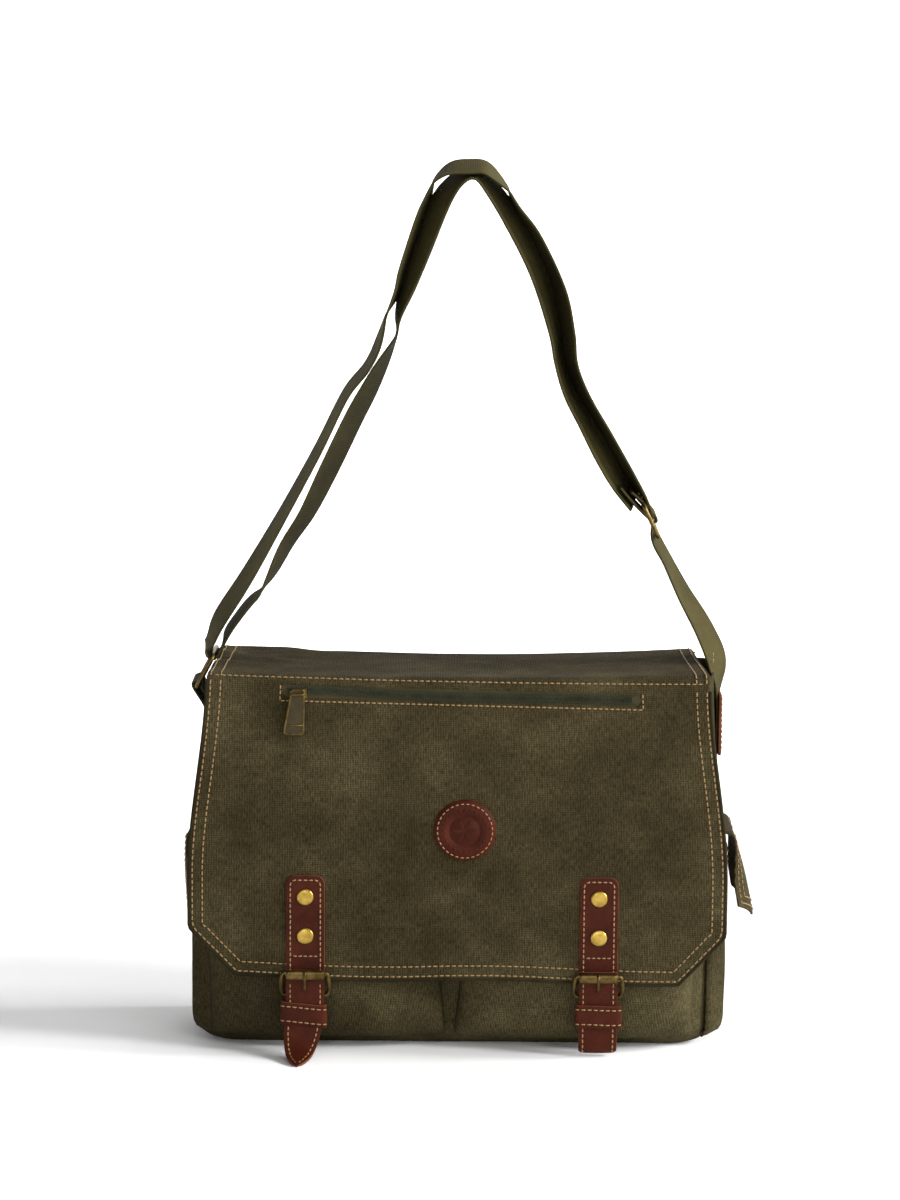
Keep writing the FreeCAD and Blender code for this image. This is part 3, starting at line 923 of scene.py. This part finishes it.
def make_front_pocket(side, sign):
    """A puffed pocket, flat where its snap sits."""
    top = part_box(f"front_pocket_{side}")[1][2]
    stud = middle_of(f"snap_stud_{side}")
    stud.y = 0
    depth = 3.0 * MM - POCKET_Y - HALF_D
    height = top - POCKET_FOOT

    def point(u, v):
        z = POCKET_FOOT + v * height
        middle = -4.5 * MM + sign * (0.4 * MM + 6.2 * MM * smoothstep(-10 * MM, 64 * MM, z))
        outer = sign * (170 * MM + 2.5 * MM * smoothstep(0, 90 * MM, z)) - 3.5 * MM
        near, far = sorted((middle, outer))
        x = near + (far - near) * u
        bulge = pouch_shape(u, v)
        flat = smoothstep(8 * MM, 26 * MM, (Vector((x, 0, z)) - stud).length)
        rough = 2.4 * MM * ripple((x, 0, z), 52 * MM, 6.0 + sign) + 0.7 * MM * ripple((x, 0, z), 17 * MM, 9.0)
        belly = 4.5 * MM * math.sin(math.pi * min(v / 0.5, 1.0)) * math.sin(math.pi * u)
        sag = -1.6 * MM * math.sin(math.pi * u) * (1 - v) ** 3
        seat = 3.0 * MM - HALF_D + 1.6 * foot_tuck(z) * (1 - bulge)
        return x, seat + (rough * flat - depth) * bulge - belly * flat, max(z + sag, 5 * MM)

    pocket = grid(f"front_pocket_panel_{side}", spaced(0, 1, 64), spaced(0, 1, 56), point, [CANVAS_SHADED])
    thicken(pocket, 1.6 * MM)
    fit(pocket, "bag", "canvas", f"front_pocket_{side}")
    thread = Thread(f"front_pocket_stitching_{side}")
    for gap in (4 * MM, 11 * MM):
        v = (top - gap - POCKET_FOOT) / height
        thread.seam([Vector(point(u, v)) + Vector(FRONT) * 0.2 * MM for u in spaced(0.04, 0.96, 40)], FRONT)
    fit(thread.build(), "bag", "canvas")


def make_side_pocket(side, sign):
    """A pocket on a gusset, which starts at the bag's front corner."""
    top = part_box(f"side_pocket_{side}")[1][2]
    deep = 8 * MM if sign > 0 else 6 * MM

    def point(u, v):
        y = (-44 + 78 * u) * MM
        z = 6 * MM + v * (top - 7 * MM)
        rough = 1.0 * MM * ripple((sign, y, z), 40 * MM, 8.0)
        corner = 6 * MM * smoothstep(0.14, 0.0, u)
        out = (deep + rough) * pouch_shape(u, v) - 1 * MM - 1.4 * foot_tuck(z) - corner
        return sign * (HALF_W + out), y, z

    pocket = grid(f"side_pocket_panel_{side}", spaced(0, 1, 40), spaced(0, 1, 40), point, [CANVAS_SHADED],
                  flip=sign < 0)
    thicken(pocket, 1.5 * MM)
    fit(pocket, "bag", "canvas", f"side_pocket_{side}")
    thread = Thread(f"side_pocket_stitching_{side}")
    normal = Vector((sign, 0, 0))
    for v in (0.93, 0.975):
        thread.seam([Vector(point(u, v)) + normal * 0.25 * MM for u in spaced(0.06, 0.94, 24)], normal)
    fit(thread.build(), "bag", "canvas")


def make_side_flap(side, sign):
    """A pointed flap over a side pocket: closed on the left, standing off on the right."""
    hinge_x, hinge_z = HALF_W + 2 * MM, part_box("side_flap_left")[1][2]
    half, drop, point_drop = 33 * MM, 60 * MM, 17 * MM
    tilt, lean, cup = (math.radians(14), 8.5 * MM, 9 * MM) if sign > 0 else (0.0, 6.5 * MM, 2 * MM)

    def point(u, v):
        out = lean * smoothstep(0.0, 0.16, v) - 1.5 * MM * (1 - v) + 2.0 * MM * math.sin(math.pi * v)
        out -= cup * u * u * smoothstep(0.1, 0.8, v)
        down = (drop + point_drop * (1 - abs(u))) * v
        x = out * math.cos(tilt) + down * math.sin(tilt)
        return sign * (hinge_x + x), half * u, hinge_z - down * math.cos(tilt) + out * math.sin(tilt)

    flap = grid(f"side_flap_sheet_{side}", spaced(-1, 1, 30), spaced(0, 1, 40), point, [CANVAS],
                flip=sign > 0)
    thicken(flap, CANVAS_T)
    modifier(flap, "SUBSURF", levels=1, render_levels=1)
    fit(flap, f"side_flap_{side}", "canvas", f"side_flap_{side}")
    thread = Thread(f"side_flap_stitching_{side}")
    normal = Vector((sign, 0, 0))
    for gap in (0.10, 0.30):
        foot = 0.985 - gap * 0.42
        down = spaced(0.14, foot, 30)
        rim = [point(gap - 1, v) for v in down] + [point(u, foot) for u in spaced(gap - 1, 1 - gap, 21)[1:-1]]
        rim += [point(1 - gap, v) for v in reversed(down)]
        thread.seam([Vector(spot) + normal * 0.3 * MM for spot in rim], normal)
    fit(thread.build(), f"side_flap_{side}", "canvas")


# Zip

def zip_line(x):
    """Height of the coil along the zip: it waves a little and dips to the right of the middle."""
    t = (x - ZIP_LEFT) / (ZIP_RIGHT - ZIP_LEFT)
    wave = 0.8 * math.sin(9 * t) * (1 - t) - 1.9 * smoothstep(0.05, 0.35, t)
    return ZIP_MIDDLE + (0.6 + 0.6 * t + wave) * MM


def flap_spot(x, z, behind=0.0):
    """The flap's surface at x, z, or a spot behind it."""
    run = run_at(z)
    return flap_point(x / flap_half(z, run), run) + Vector((0, behind, 0))


def make_zip():
    """Cloth behind the window, two rows of coil and the tape's stitches."""
    def tape_point(u, v):
        x = ZIP_LEFT - 3 * MM + (ZIP_RIGHT - ZIP_LEFT + 6 * MM) * u
        z = ZIP_LOW - 4 * MM + (ZIP_TOP - ZIP_LOW + 6 * MM) * v
        ridge = 0.7 * MM * math.exp(-((z - zip_line(x)) / (3.0 * MM)) ** 2)
        return flap_spot(x, z, 1.1 * MM - ridge)

    tape = grid("zip_cloth", spaced(0, 1, 90), spaced(0, 1, 18), tape_point, [ZIP_CLOTH])
    thicken(tape, 0.5 * MM)
    fit(tape, "flap_front", "zip_green", "zip_tape")
    coil = Thread("zip_coil")
    pitch = 1.25 * MM
    for i in range(int((ZIP_RIGHT - ZIP_LEFT - 6 * MM) / pitch)):
        x = ZIP_LEFT + 3 * MM + i * pitch
        for sign in (-1, 1):
            middle = flap_spot(x, zip_line(x) + sign * 0.95 * MM, 0.2 * MM)
            reach = Vector((0.15 * MM * sign, 0, 1.25 * MM))
            coil.stitch(middle - reach, middle + reach, middle, Vector(FRONT), 0.52 * MM, 1.0)
    fit(coil.build(ZIP_COIL), "flap_front", "zip_green", "zip_teeth")
    rows = Thread("zip_cloth_stitching")
    for offset in (-3.4 * MM, 3.4 * MM):
        xs = spaced(ZIP_LEFT + 2 * MM, ZIP_RIGHT - 2 * MM, 60)
        rows.seam([flap_spot(x, zip_line(x) + offset, 0.55 * MM) for x in xs], FRONT, 2.6 * MM, 0.28 * MM)
    fit(rows.build(ZIP_COIL), "flap_front", "zip_green")


def make_slider():
    """A wedge of brass with a bail over it."""
    low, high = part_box("zip_slider")
    x, z = (low[0] + high[0]) / 2, (low[2] + high[2]) / 2
    back, deep = high[1], high[1] - low[1]
    half = [(-6, 2.4), (1, 4), (6, 3.6)]
    outline = [(a, -b) for a, b in half] + half[::-1]
    outline = [(x + a * MM, z + b * MM) for a, b in outline]
    body = plate("zip_slider_body", outline, back, 1.8 * MM, [ANTIQUE], 0.6 * MM)
    bail = [(-4.5, 1.6 * MM), (-4, deep), (0, deep + 0.5 * MM), (4, deep), (4.5, 1.6 * MM)]
    path = smooth_path([(x + a * MM, back - b, z) for a, b in bail], 5)
    bail = tube("zip_slider_bail", path, 0.9 * MM, ANTIQUE)
    fit(body, "zip_slider", "antique_brass", "zip_slider")
    fit(bail, "zip_slider", "antique_brass")


def make_pull():
    """A dark pull in a brass rim, which hangs a little to the left."""
    x = middle_of("zip_slider").x
    low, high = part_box("zip_pull")
    y, top_z, low_z = low[1] + 1.9 * MM, high[2] + 1.5 * MM, low[2] + 9 * MM
    lean = -3.0 * MM

    def outline(grow):
        top, foot = 4.2 * MM + grow, 6.8 * MM + grow
        return smooth_corners([(x - foot + lean, low_z - grow), (x + foot + lean, low_z - grow),
                               (x + top, top_z + grow), (x - top, top_z + grow)], 1.8 * MM)

    rim = tube("zip_pull_rim", [(px, y, pz) for px, pz in outline(0.0)], 0.8 * MM, ANTIQUE, closed=True)
    infill = plate("zip_pull_infill", outline(-0.4 * MM), y + 0.5 * MM, 1.0 * MM, [PULL_DARK], 0.2 * MM)
    bar_ends = [(x + a * 5.6 * MM + 0.8 * lean, y - 0.3 * MM, low_z + 6 * MM) for a in (-1, 1)]
    bar = tube("zip_pull_bar", bar_ends, 0.5 * MM, ANTIQUE)
    fit(rim, "zip_pull", "antique_brass", "zip_pull")
    fit(infill, "zip_pull", "antique_brass")
    fit(bar, "zip_pull", "antique_brass")


def make_pocket_bag():
    """The pocket behind the zip."""
    low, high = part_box("flap_pocket_bag")

    def point(u, v):
        return (low[0] + (high[0] - low[0]) * u, high[1] - 0.2 * MM + 0.4 * MM * ripple((u, v, 0), 0.2),
                low[2] + (high[2] - low[2]) * v)

    bag = grid("flap_pocket_lining", spaced(0, 1, 24), spaced(0, 1, 14), point, [LINING])
    thicken(bag, 0.6 * MM)
    fit(bag, "flap_front", "lining", "flap_pocket_bag")


# Leather

def make_patch():
    """A round patch with a stitched edge, six petals and a ring of beads."""
    low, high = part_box("round_patch")
    x, z = (low[0] + high[0]) / 2, (low[2] + high[2]) / 2
    radius = (high[0] - low[0]) / 2
    face = 1.6 * MM - flap_spot(x, z).y
    seat = face - 3.4 * MM
    profile = [(radius, seat), (radius, seat + 1.25 * MM), (radius - 0.7 * MM, face), (0.53 * radius, face),
               (0.51 * radius, face - 0.5 * MM), (0.46 * radius, face - 0.5 * MM), (0.44 * radius, face),
               (0.1 * MM, face)]
    fit(lathe("round_leather_patch", profile, (x, 0, z), LEATHER, 64), "flap_front", "leather", "round_patch")

    def around(distance, turn, y):
        return Vector((x + distance * radius * math.cos(turn), y, z + distance * radius * math.sin(turn)))

    ring = Thread("patch_stitching")
    ring.seam([around(0.87, turn, -face - 0.1 * MM) for turn in spaced(0, 2 * math.pi, 80)], FRONT, 3.7 * MM,
              0.36 * MM, 0.62)
    fit(ring.build(), "flap_front", "leather")
    for k in range(6):
        turn = math.pi / 3 * k
        middle = around(0.22, turn, 0)
        out = Vector((math.cos(turn), math.sin(turn))) * 0.15 * radius
        side = Vector((-math.sin(turn), math.cos(turn))) * 0.055 * radius
        petal = [(middle.x + out.x * math.cos(a) + side.x * math.sin(a),
                  middle.z + out.y * math.cos(a) + side.y * math.sin(a))
                 for a in spaced(0, 2 * math.pi * 11 / 12, 12)]
        petal = plate(f"patch_petal_{k}", petal, 0.2 * MM - face, 0.65 * MM, [LEATHER], 0.25 * MM)
        fit(petal, "flap_front", "leather")
    bead = [(1.0 * MM, -0.1 * MM), (0.9 * MM, 0.25 * MM), (0.4 * MM, 0.45 * MM), (0.05 * MM, 0.5 * MM)]
    for k in range(24):
        piece = lathe(f"patch_bead_{k}", bead, around(0.68, math.pi / 12 * k, -face), LEATHER, 10)
        fit(piece, "flap_front", "leather")


def make_upper_tab(side):
    """A leather tab on the flap with a stitched edge and two rivets."""
    low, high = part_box(f"upper_tab_{side}")
    foot, deep = low[2] - 3 * MM, 0.6 * MM
    outline = rounded(low[0], high[0], foot, high[2], (1 * MM, 1 * MM, 6 * MM, 6 * MM))
    tab = plate(f"upper_tab_leather_{side}", outline, high[1] + deep, high[1] - low[1] + deep,
                [LEATHER, LEATHER_EDGE], 0.6 * MM)
    fit(tab, "flap_front", "leather", f"upper_tab_{side}")
    thread = Thread(f"upper_tab_stitching_{side}")
    y = low[1] - 0.1 * MM
    rim = rounded(low[0] + 3 * MM, high[0] - 3 * MM, foot, high[2] - 3 * MM, (0, 0, 4 * MM, 4 * MM))
    thread.seam(on_plane(rim[1:] + rim[:1], y), FRONT, LEATHER_PITCH)
    cross_z = low[2] + 9.5 * MM
    cross = [(low[0] + 4.5 * MM, cross_z), (high[0] - 4.5 * MM, cross_z)]
    thread.seam(on_plane(cross, y), FRONT, LEATHER_PITCH)
    fit(thread.build(), "flap_front", "leather")
    cap = [(5.8, -0.2), (5.9, 0.5), (5.6, 1.1), (4.9, 1.45), (2.8, 1.6), (0.9, 1.65), (0.05, 1.65)]
    profile = [(radius * MM, forward * MM) for radius, forward in cap]
    tab_front = low[1]
    low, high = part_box(f"rivets_{side}")
    x = (low[0] + high[0]) / 2
    for name, z in (("top", high[2] - 6 * MM), ("low", low[2] + 6 * MM)):
        piece = lathe(f"rivet_{name}_{side}", profile, (x, tab_front, z), RIVET_BRASS)
        fit(piece, "flap_front", "rivet_brass", *([f"rivets_{side}"] if name == "top" else []))


# A lower strap's face from its top down: forward of STRAP_FACE and height, in millimetres
STRAP_FACE = -76.8 * MM
STRAP_TRACKS = {"left": [(0, 45), (0.8, 30), (2.4, 20), (6.5, 11), (14, 5.0), (28, 1.4)],
                "right": [(0, 45), (-0.2, 28), (-0.6, 14), (-2.0, 6), (-6.0, 2.0)]}


def make_lower_strap(side):
    """The left strap ends in a point that curls forward; the right one is cut square and tucks in."""
    low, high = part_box(f"lower_strap_{side}")
    x_mid = (low[0] + high[0]) / 2
    half = (high[0] - low[0]) / 2
    pointed = side == "left"
    top = (0, STRAP_FACE + 0.6 * MM, high[2])
    track = [top] + [(0, STRAP_FACE - forward * MM, z * MM) for forward, z in STRAP_TRACKS[side]]
    track = resample(smooth_path(track, 6), 60)
    drift = -4.5 * MM if pointed else 0.0
    total = sum((b - a).length for a, b in zip(track, track[1:]))
    tip = 42 * MM if pointed else 5 * MM

    def point(u, v, lift=0.0, margin=0.0):
        at = min(v, 1.0) * (len(track) - 1)
        i = min(int(at), len(track) - 2)
        slope = (track[i + 1] - track[i]).normalized()
        width = half
        t = 1 - (1 - v) * total / tip
        if t > 0:
            width *= max(1 - t * t, 0.0) ** 0.7 if pointed else 1 - 0.25 * t ** 3
        width = max(width - margin, 0.25 * MM)
        crown = 0.35 * MM * (1 - u * u)
        spot = track[i].lerp(track[i + 1], at - i) + Vector((0, slope.z, -slope.y)) * (lift + crown)
        return Vector((x_mid + u * width + drift * smoothstep(0.25, 1.0, v), spot.y, spot.z))

    strap = grid(f"lower_strap_leather_{side}", spaced(-1, 1, 14), spaced(0, 1, 70), point,
                 [LEATHER, LEATHER_EDGE], flip=True)
    thicken(strap, LEATHER_T, rim=1)
    modifier(strap, "BEVEL", width=0.45 * MM, segments=2, limit_method="ANGLE", angle_limit=math.radians(55))
    fit(strap, f"buckle_strap_{side}", "leather", f"lower_strap_{side}")
    thread = Thread(f"lower_strap_stitching_{side}")
    for u in (-1, 1):
        rail = [point(u, v, 0.1 * MM, 3.0 * MM) for v in spaced(0.12, 0.955 if pointed else 0.97, 50)]
        thread.seam(rail, FRONT, LEATHER_PITCH)
    fit(thread.build(), f"buckle_strap_{side}", "leather")


def make_keeper(side):
    """A loop of leather round the strap, a little askew."""
    low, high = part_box(f"keeper_{side}")
    x_mid, y_mid = (low[0] + high[0]) / 2, (low[1] + high[1]) / 2
    half_x, half_y = (high[0] - low[0]) / 2 - 0.2 * MM, (high[1] - low[1]) / 2 + 0.4 * MM
    shift, tilt = (-1.0 * MM, -0.11) if side == "left" else (0.3 * MM, -0.04)

    def point(u, v):
        c, s = math.cos(2 * math.pi * u), math.sin(2 * math.pi * u)
        x = half_x * math.copysign(abs(c) ** 0.35, c)
        y = half_y * math.copysign(abs(s) ** 0.6, s)
        return x_mid + x + shift, y_mid + y, low[2] + (high[2] - low[2]) * v + tilt * x + 0.5 * MM * c

    keeper = grid(f"keeper_leather_{side}", [i / 56 for i in range(56)], spaced(0, 1, 9), point,
                  [LEATHER, LEATHER_EDGE], closed=True)
    thicken(keeper, 1.9 * MM, rim=1)
    modifier(keeper, "BEVEL", width=0.4 * MM, segments=2, limit_method="ANGLE", angle_limit=math.radians(55))
    fit(keeper, f"keeper_{side}", "leather", f"keeper_{side}")
    thread = Thread(f"keeper_stitching_{side}")
    for v in (0.17, 0.83):
        row = [Vector(point(u, v)) + Vector(FRONT) * 0.1 * MM for u in spaced(0.53, 0.97, 40)]
        thread.seam(row, FRONT, 4.2 * MM)
    fit(thread.build(), f"keeper_{side}", "leather")


def make_buckle(side):
    """A bent wire, the bar that it hangs from and the tongue over the bar."""
    low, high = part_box(f"buckle_frame_{side}")
    arm = (high[0] - low[0]) / 2 - 1.5 * MM
    roller = middle_of(f"buckle_roller_{side}")
    x, y, z = (low[0] + high[0]) / 2, roller.y, roller.z + (2.0 if side == "left" else 1.0) * MM
    low_z, low_y = low[2] + 1.6 * MM, high[1] - 1.4 * MM
    middle_z = (z + 1 * MM + low_z) / 2
    half = [(0.72, y, z + 1.8 * MM), (0.93, y, z + 0.6 * MM), (1.0, y + 1.2 * MM, middle_z + 1 * MM),
            (0.97, low_y - 1 * MM, low_z + 3 * MM), (0.8, low_y, low_z)]
    path = [(x - a * arm, b, c) for a, b, c in half] + [(x, low_y, low_z - 0.4 * MM)]
    path += [(x + a * arm, b, c) for a, b, c in half[::-1]]
    wire = tube(f"buckle_wire_{side}", smooth_path(path, 6), 1.45 * MM, ANTIQUE, sides=12)
    fit(wire, f"buckle_strap_{side}", "antique_brass", f"buckle_frame_{side}")
    roller_low, roller_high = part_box(f"buckle_roller_{side}")
    x0, x1, tall, deep = roller_low[0] + 1.2 * MM, roller_high[0] - 1.2 * MM, 3.6 * MM, 2.5 * MM
    outline = [(x0, z - tall), (x1, z - tall), (x1, z + tall), (x0, z + tall)]
    bar = plate(f"buckle_bar_{side}", outline, y + deep, 2 * deep, [ANTIQUE], 2.2 * MM)
    bar.modifiers[0].segments = 3
    fit(bar, f"buckle_strap_{side}", "antique_brass", f"buckle_roller_{side}")
    tongue = [(y - 2.0 * MM, z + 2.6 * MM), (y - 3.4 * MM, z + 1.2 * MM), (y - 3.4 * MM, z - 0.8 * MM),
              (y - 2.2 * MM, z - 4.0 * MM), (y + 0.6 * MM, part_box(f"buckle_prong_{side}")[0][2] + 1.0 * MM)]
    path = smooth_path([(x, b, c) for b, c in tongue], 5)
    fit(tube(f"buckle_tongue_{side}", path, 1.15 * MM, ANTIQUE), f"prong_{side}", "antique_brass",
        f"buckle_prong_{side}")


# Shoulder strap: one length of webbing, from the right anchor through the adjuster, round the ring and back

def webbing(name, path, width, thickness=WEBBING_T):
    """A flat strip along path. A point's y says how far its front edge leans towards the loop's other side;
    the middle moves over by the same amount, so that the path stays the strip's outline."""
    half = width / 2
    edge = [(-1, -0.3), (-0.97, -0.5), (-0.9, -0.42), (-0.5, -0.45), (0, -0.47), (0.5, -0.45), (0.9, -0.42),
            (0.97, -0.5), (1, -0.3)]
    section = edge + [(-a, -b) for a, b in edge]
    verts, uvs, faces = [], [], []
    run = 0.0
    last = len(path) - 1
    for i, spot in enumerate(path):
        tangent = path[min(i + 1, last)] - path[max(i - 1, 0)]
        tangent.y = 0
        tangent.normalize()
        if i:
            run += (spot - path[i - 1]).length
        side = tangent.cross(Vector((0, 1, 0)))
        sine = spot.y / half
        across = Vector((0, math.sqrt(1 - sine * sine), 0)) + side * sine
        up = across.cross(tangent)
        middle = Vector((spot.x, 0, spot.z)) + side * abs(spot.y)
        for a, b in section:
            verts.append(middle + across * (a * half) + up * (b * thickness))
            uvs.append((a * half + (0.1 if b > 0 else 0), run))
    ring = len(section)
    for i in range(last):
        for k in range(ring):
            m = (k + 1) % ring
            faces.append((i * ring + k, (i + 1) * ring + k, (i + 1) * ring + m, i * ring + m))
    faces += [tuple(range(ring)), tuple(last * ring + k for k in range(ring))[::-1]]
    return make_object(name, verts, faces, [WEBBING], uvs)


# x, z of the outline and lean, all in millimetres
LOWER_ROUTE = [(182.6, 206, 0), (183, 230, 0), (187.5, 250, -3), (190.5, 264, -6.5), (188, 278, -7),
               (177, 299, -6), (163, 320, -4.5), (149, 344, -3), (139, 363, -2.5)]
OUTER_ROUTE = [(132.0, 384.7, 3), (123.1, 402.4, 3.5), (105.4, 433.3, 3.5), (89.9, 459.6, 3.5),
               (81.0, 481.6, 4), (78.7, 503.4, 4), (72.0, 533.9, 4), (54.5, 570.7, 3.5), (39.2, 591.0, 2),
               (26.2, 610.9, -2), (16.7, 620.3, -3.5), (5.4, 621.6, -4), (-7.5, 619.9, -3.5),
               (-17.0, 611.7, -1), (-25.7, 596.6, 2), (-32.2, 581.5, 3), (-43.2, 546.9, 3),
               (-47.1, 529.5, 2), (-58.5, 499.0, -1.8), (-67.3, 479.4, -2), (-82.7, 459.6, -2.2),
               (-102.6, 420.0, -2.5), (-127.0, 375.8, -3), (-153.8, 331.3, -4.2), (-174.0, 300.0, -4.5),
               (-179.9, 282.1, -3)]
RING_TURN = [(-181.5, 278, -1.5), (-177, 272.5, 0), (-171.5, 272, 0), (-168.5, 277, 0)]
INNER_ROUTE = [(-164.8, 284.3, 1.5), (-158.6, 294.6, 1.5), (-146.0, 311.2, 1), (-131.8, 326.8, -2.5),
               (-118.4, 349.1, -4.5), (-102.9, 371.4, -5.5), (-86.5, 402.4, -6.5), (-69.7, 437.7, -6.5),
               (-60.0, 457.4, -6), (-51.2, 479.4, -4), (-45.4, 499.0, -0.5), (-42.4, 513.0, 2),
               (-32.3, 533.9, 5.5), (-21.4, 559.9, 6.5), (-9.3, 590.2, 6.5), (-0.6, 605.3, 4.5),
               (8.0, 610.0, 3.5), (15.4, 602.2, 4.5), (30.6, 577.2, 6), (48.1, 542.6, 6),
               (61.3, 503.4, 4), (65.7, 481.6, 3), (72.4, 459.6, 3.5), (83.4, 437.7, 5),
               (94.5, 415.6, 6), (106.5, 395.7, 5.5), (119.8, 379.4, 3)]


def make_shoulder_strap():
    """The webbing, its left ring and the short loop that holds the ring."""
    route = LOWER_ROUTE + OUTER_ROUTE + RING_TURN + INNER_ROUTE
    path = resample(smooth_path([(x * MM, lean * MM, z * MM) for x, z, lean in route], 10), 460)
    strap = webbing("shoulder_webbing", path, WEBBING_W - 1 * MM)
    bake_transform(strap)
    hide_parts("strap_outer_run", "strap_inner_run", "strap_lower_run")
    mark = Thread("webbing_stitch_mark")
    mark.seam([Vector((179.5, -14.0, 279 - 2.2 * i)) * MM for i in range(5)], (0.4, -0.9, 0), 4 * MM)
    fit(mark.build(), "shoulder_strap", "webbing")
    low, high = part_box("strap_ring")
    wire, length, lean = 1.8 * MM, 25 * MM, 0.46
    foot_x, low_z, half_y = -185.0 * MM, low[2] + wire, high[1] - wire
    corners = smooth_corners([(-half_y, 0), (half_y, 0), (half_y, length), (-half_y, length)], 5 * MM, 5)
    ring = tube("rectangular_ring", [(foot_x + a * lean, y, low_z + a * math.sqrt(1 - lean * lean))
                                     for y, a in corners], wire, ANTIQUE, closed=True, sides=12)
    fit(ring, "shoulder_strap", "antique_brass", "strap_ring")
    loop = smooth_path([(-174.0 * MM, 0, 206 * MM), (-174.5 * MM, 0, 234 * MM),
                        (foot_x + 3.2 * MM, 0, low_z - 1 * MM), (foot_x + 1.5 * MM, 0, low_z + 2.8 * MM),
                        (foot_x - 1.5 * MM, 0, low_z + 2.8 * MM), (foot_x - 3.0 * MM, 0, low_z - 0.5 * MM),
                        (-177.5 * MM, 0, 232 * MM), (-176.3 * MM, 0, 206 * MM)], 8)
    strip = webbing("ring_webbing_loop", resample(loop, 60), 34 * MM, 1.6 * MM)
    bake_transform(strip)
    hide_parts("ring_loop", "anchor_tab_left")


def make_anchor():
    """The right anchor: a stitched leather tab on the gusset."""
    low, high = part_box("anchor_tab_right")
    outer = high[0] - 2.4 * MM
    outline = rounded(low[1] - 1 * MM, high[1] + 1 * MM, low[2], high[2] - 1 * MM, (4 * MM,) * 4)
    tab = plate("anchor_leather_right", outline, 0.0, LEATHER_T, [LEATHER, LEATHER_EDGE])
    for vert in tab.data.vertices:
        vert.co = (outer - vert.co.y, vert.co.x, vert.co.z)
    fit(tab, "bag", "leather", "anchor_tab_right")
    thread = Thread("anchor_stitching")
    path = [Vector((outer + 2.3 * MM, p[0], p[1])) for p in inset(outline, 3 * MM)]
    thread.seam(path + path[:1], (1, 0, 0), LEATHER_PITCH)
    fit(thread.build(), "bag", "leather")


def make_adjuster():
    """A brass ring with a crossbar, and the webbing's sewn end folded round it."""
    low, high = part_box("adjuster_frame")
    centre = Vector(((low[0] + high[0]) / 2 - 2.2 * MM, 0, (low[2] + high[2]) / 2 - 4.5 * MM))
    up = Vector((-0.43, 0, 0.90)).normalized()
    out = Vector((up.z, 0, -up.x))
    half_y, half_l = high[1] - 1.7 * MM, 12.5 * MM

    def spot(y, along, lift=0.0):
        return centre + Vector((0, y, 0)) + up * along + out * lift

    corners = [(-half_y, -half_l), (half_y, -half_l), (half_y, half_l), (-half_y, half_l)]
    corners = smooth_corners(corners, 4 * MM, 5)
    ring = tube("adjuster_ring", [spot(y, a) for y, a in corners], 1.9 * MM, ANTIQUE, closed=True, sides=12,
                squash=0.8)
    ends = [spot(-half_y, 0, 0.6 * MM), spot(0, 0, 0.9 * MM), spot(half_y, 0, 0.6 * MM)]
    bar = tube("adjuster_crossbar", ends, 1.6 * MM, ANTIQUE)
    fit(ring, "adjuster", "antique_brass", "adjuster_frame")
    fit(bar, "adjuster", "antique_brass", "adjuster_bar")
    turn_back = [(30, -9.5), (22, -7.5), (12, -4.5), (4, -1.5), (-1.5, 1.2), (-2.5, 3.2), (0.5, 4.2),
                 (5, 3.2), (12, 1.2), (19, -1.6), (24, -4.0)]
    path = smooth_path([spot(0, a * MM, b * MM) for a, b in turn_back], 6)
    fold = webbing("sewn_webbing_end", resample(path, 50), WEBBING_W - 2 * MM)
    fit(fold, "adjuster", "webbing")
    thread = Thread("webbing_end_stitching")
    for along, lift in ((20, 0.2), (17, 1.1)):
        row = [spot(y, along * MM, lift * MM) for y in spaced(-15 * MM, 15 * MM, 12)]
        thread.seam(row, out, 3.2 * MM)
    fit(thread.build(), "adjuster", "webbing")


def dress_cad_metal():
    """The hidden snap halves and washers keep their CAD shape."""
    for side in SIDES:
        for node in (f"snap_socket_{side}", f"snap_stud_{side}", f"rivet_washers_{side}"):
            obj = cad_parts[node]
            for index in range(max(1, len(obj.material_slots))):
                if obj.material_slots:
                    obj.material_slots[index].material = ANTIQUE
                else:
                    obj.data.materials.append(ANTIQUE)


def main():
    make_camera()
    make_lights()
    make_floor()
    make_body()
    for make in (make_front_pocket, make_side_pocket, make_side_flap):
        for side, sign in SIDES.items():
            make(side, sign)
    make_flap_pieces()
    make_flap_back()
    make_zip()
    make_slider()
    make_pull()
    make_pocket_bag()
    make_patch()
    for side in SIDES:
        make_upper_tab(side)
        make_lower_strap(side)
        make_keeper(side)
        make_buckle(side)
    make_shoulder_strap()
    make_anchor()
    make_adjuster()
    dress_cad_metal()


main()
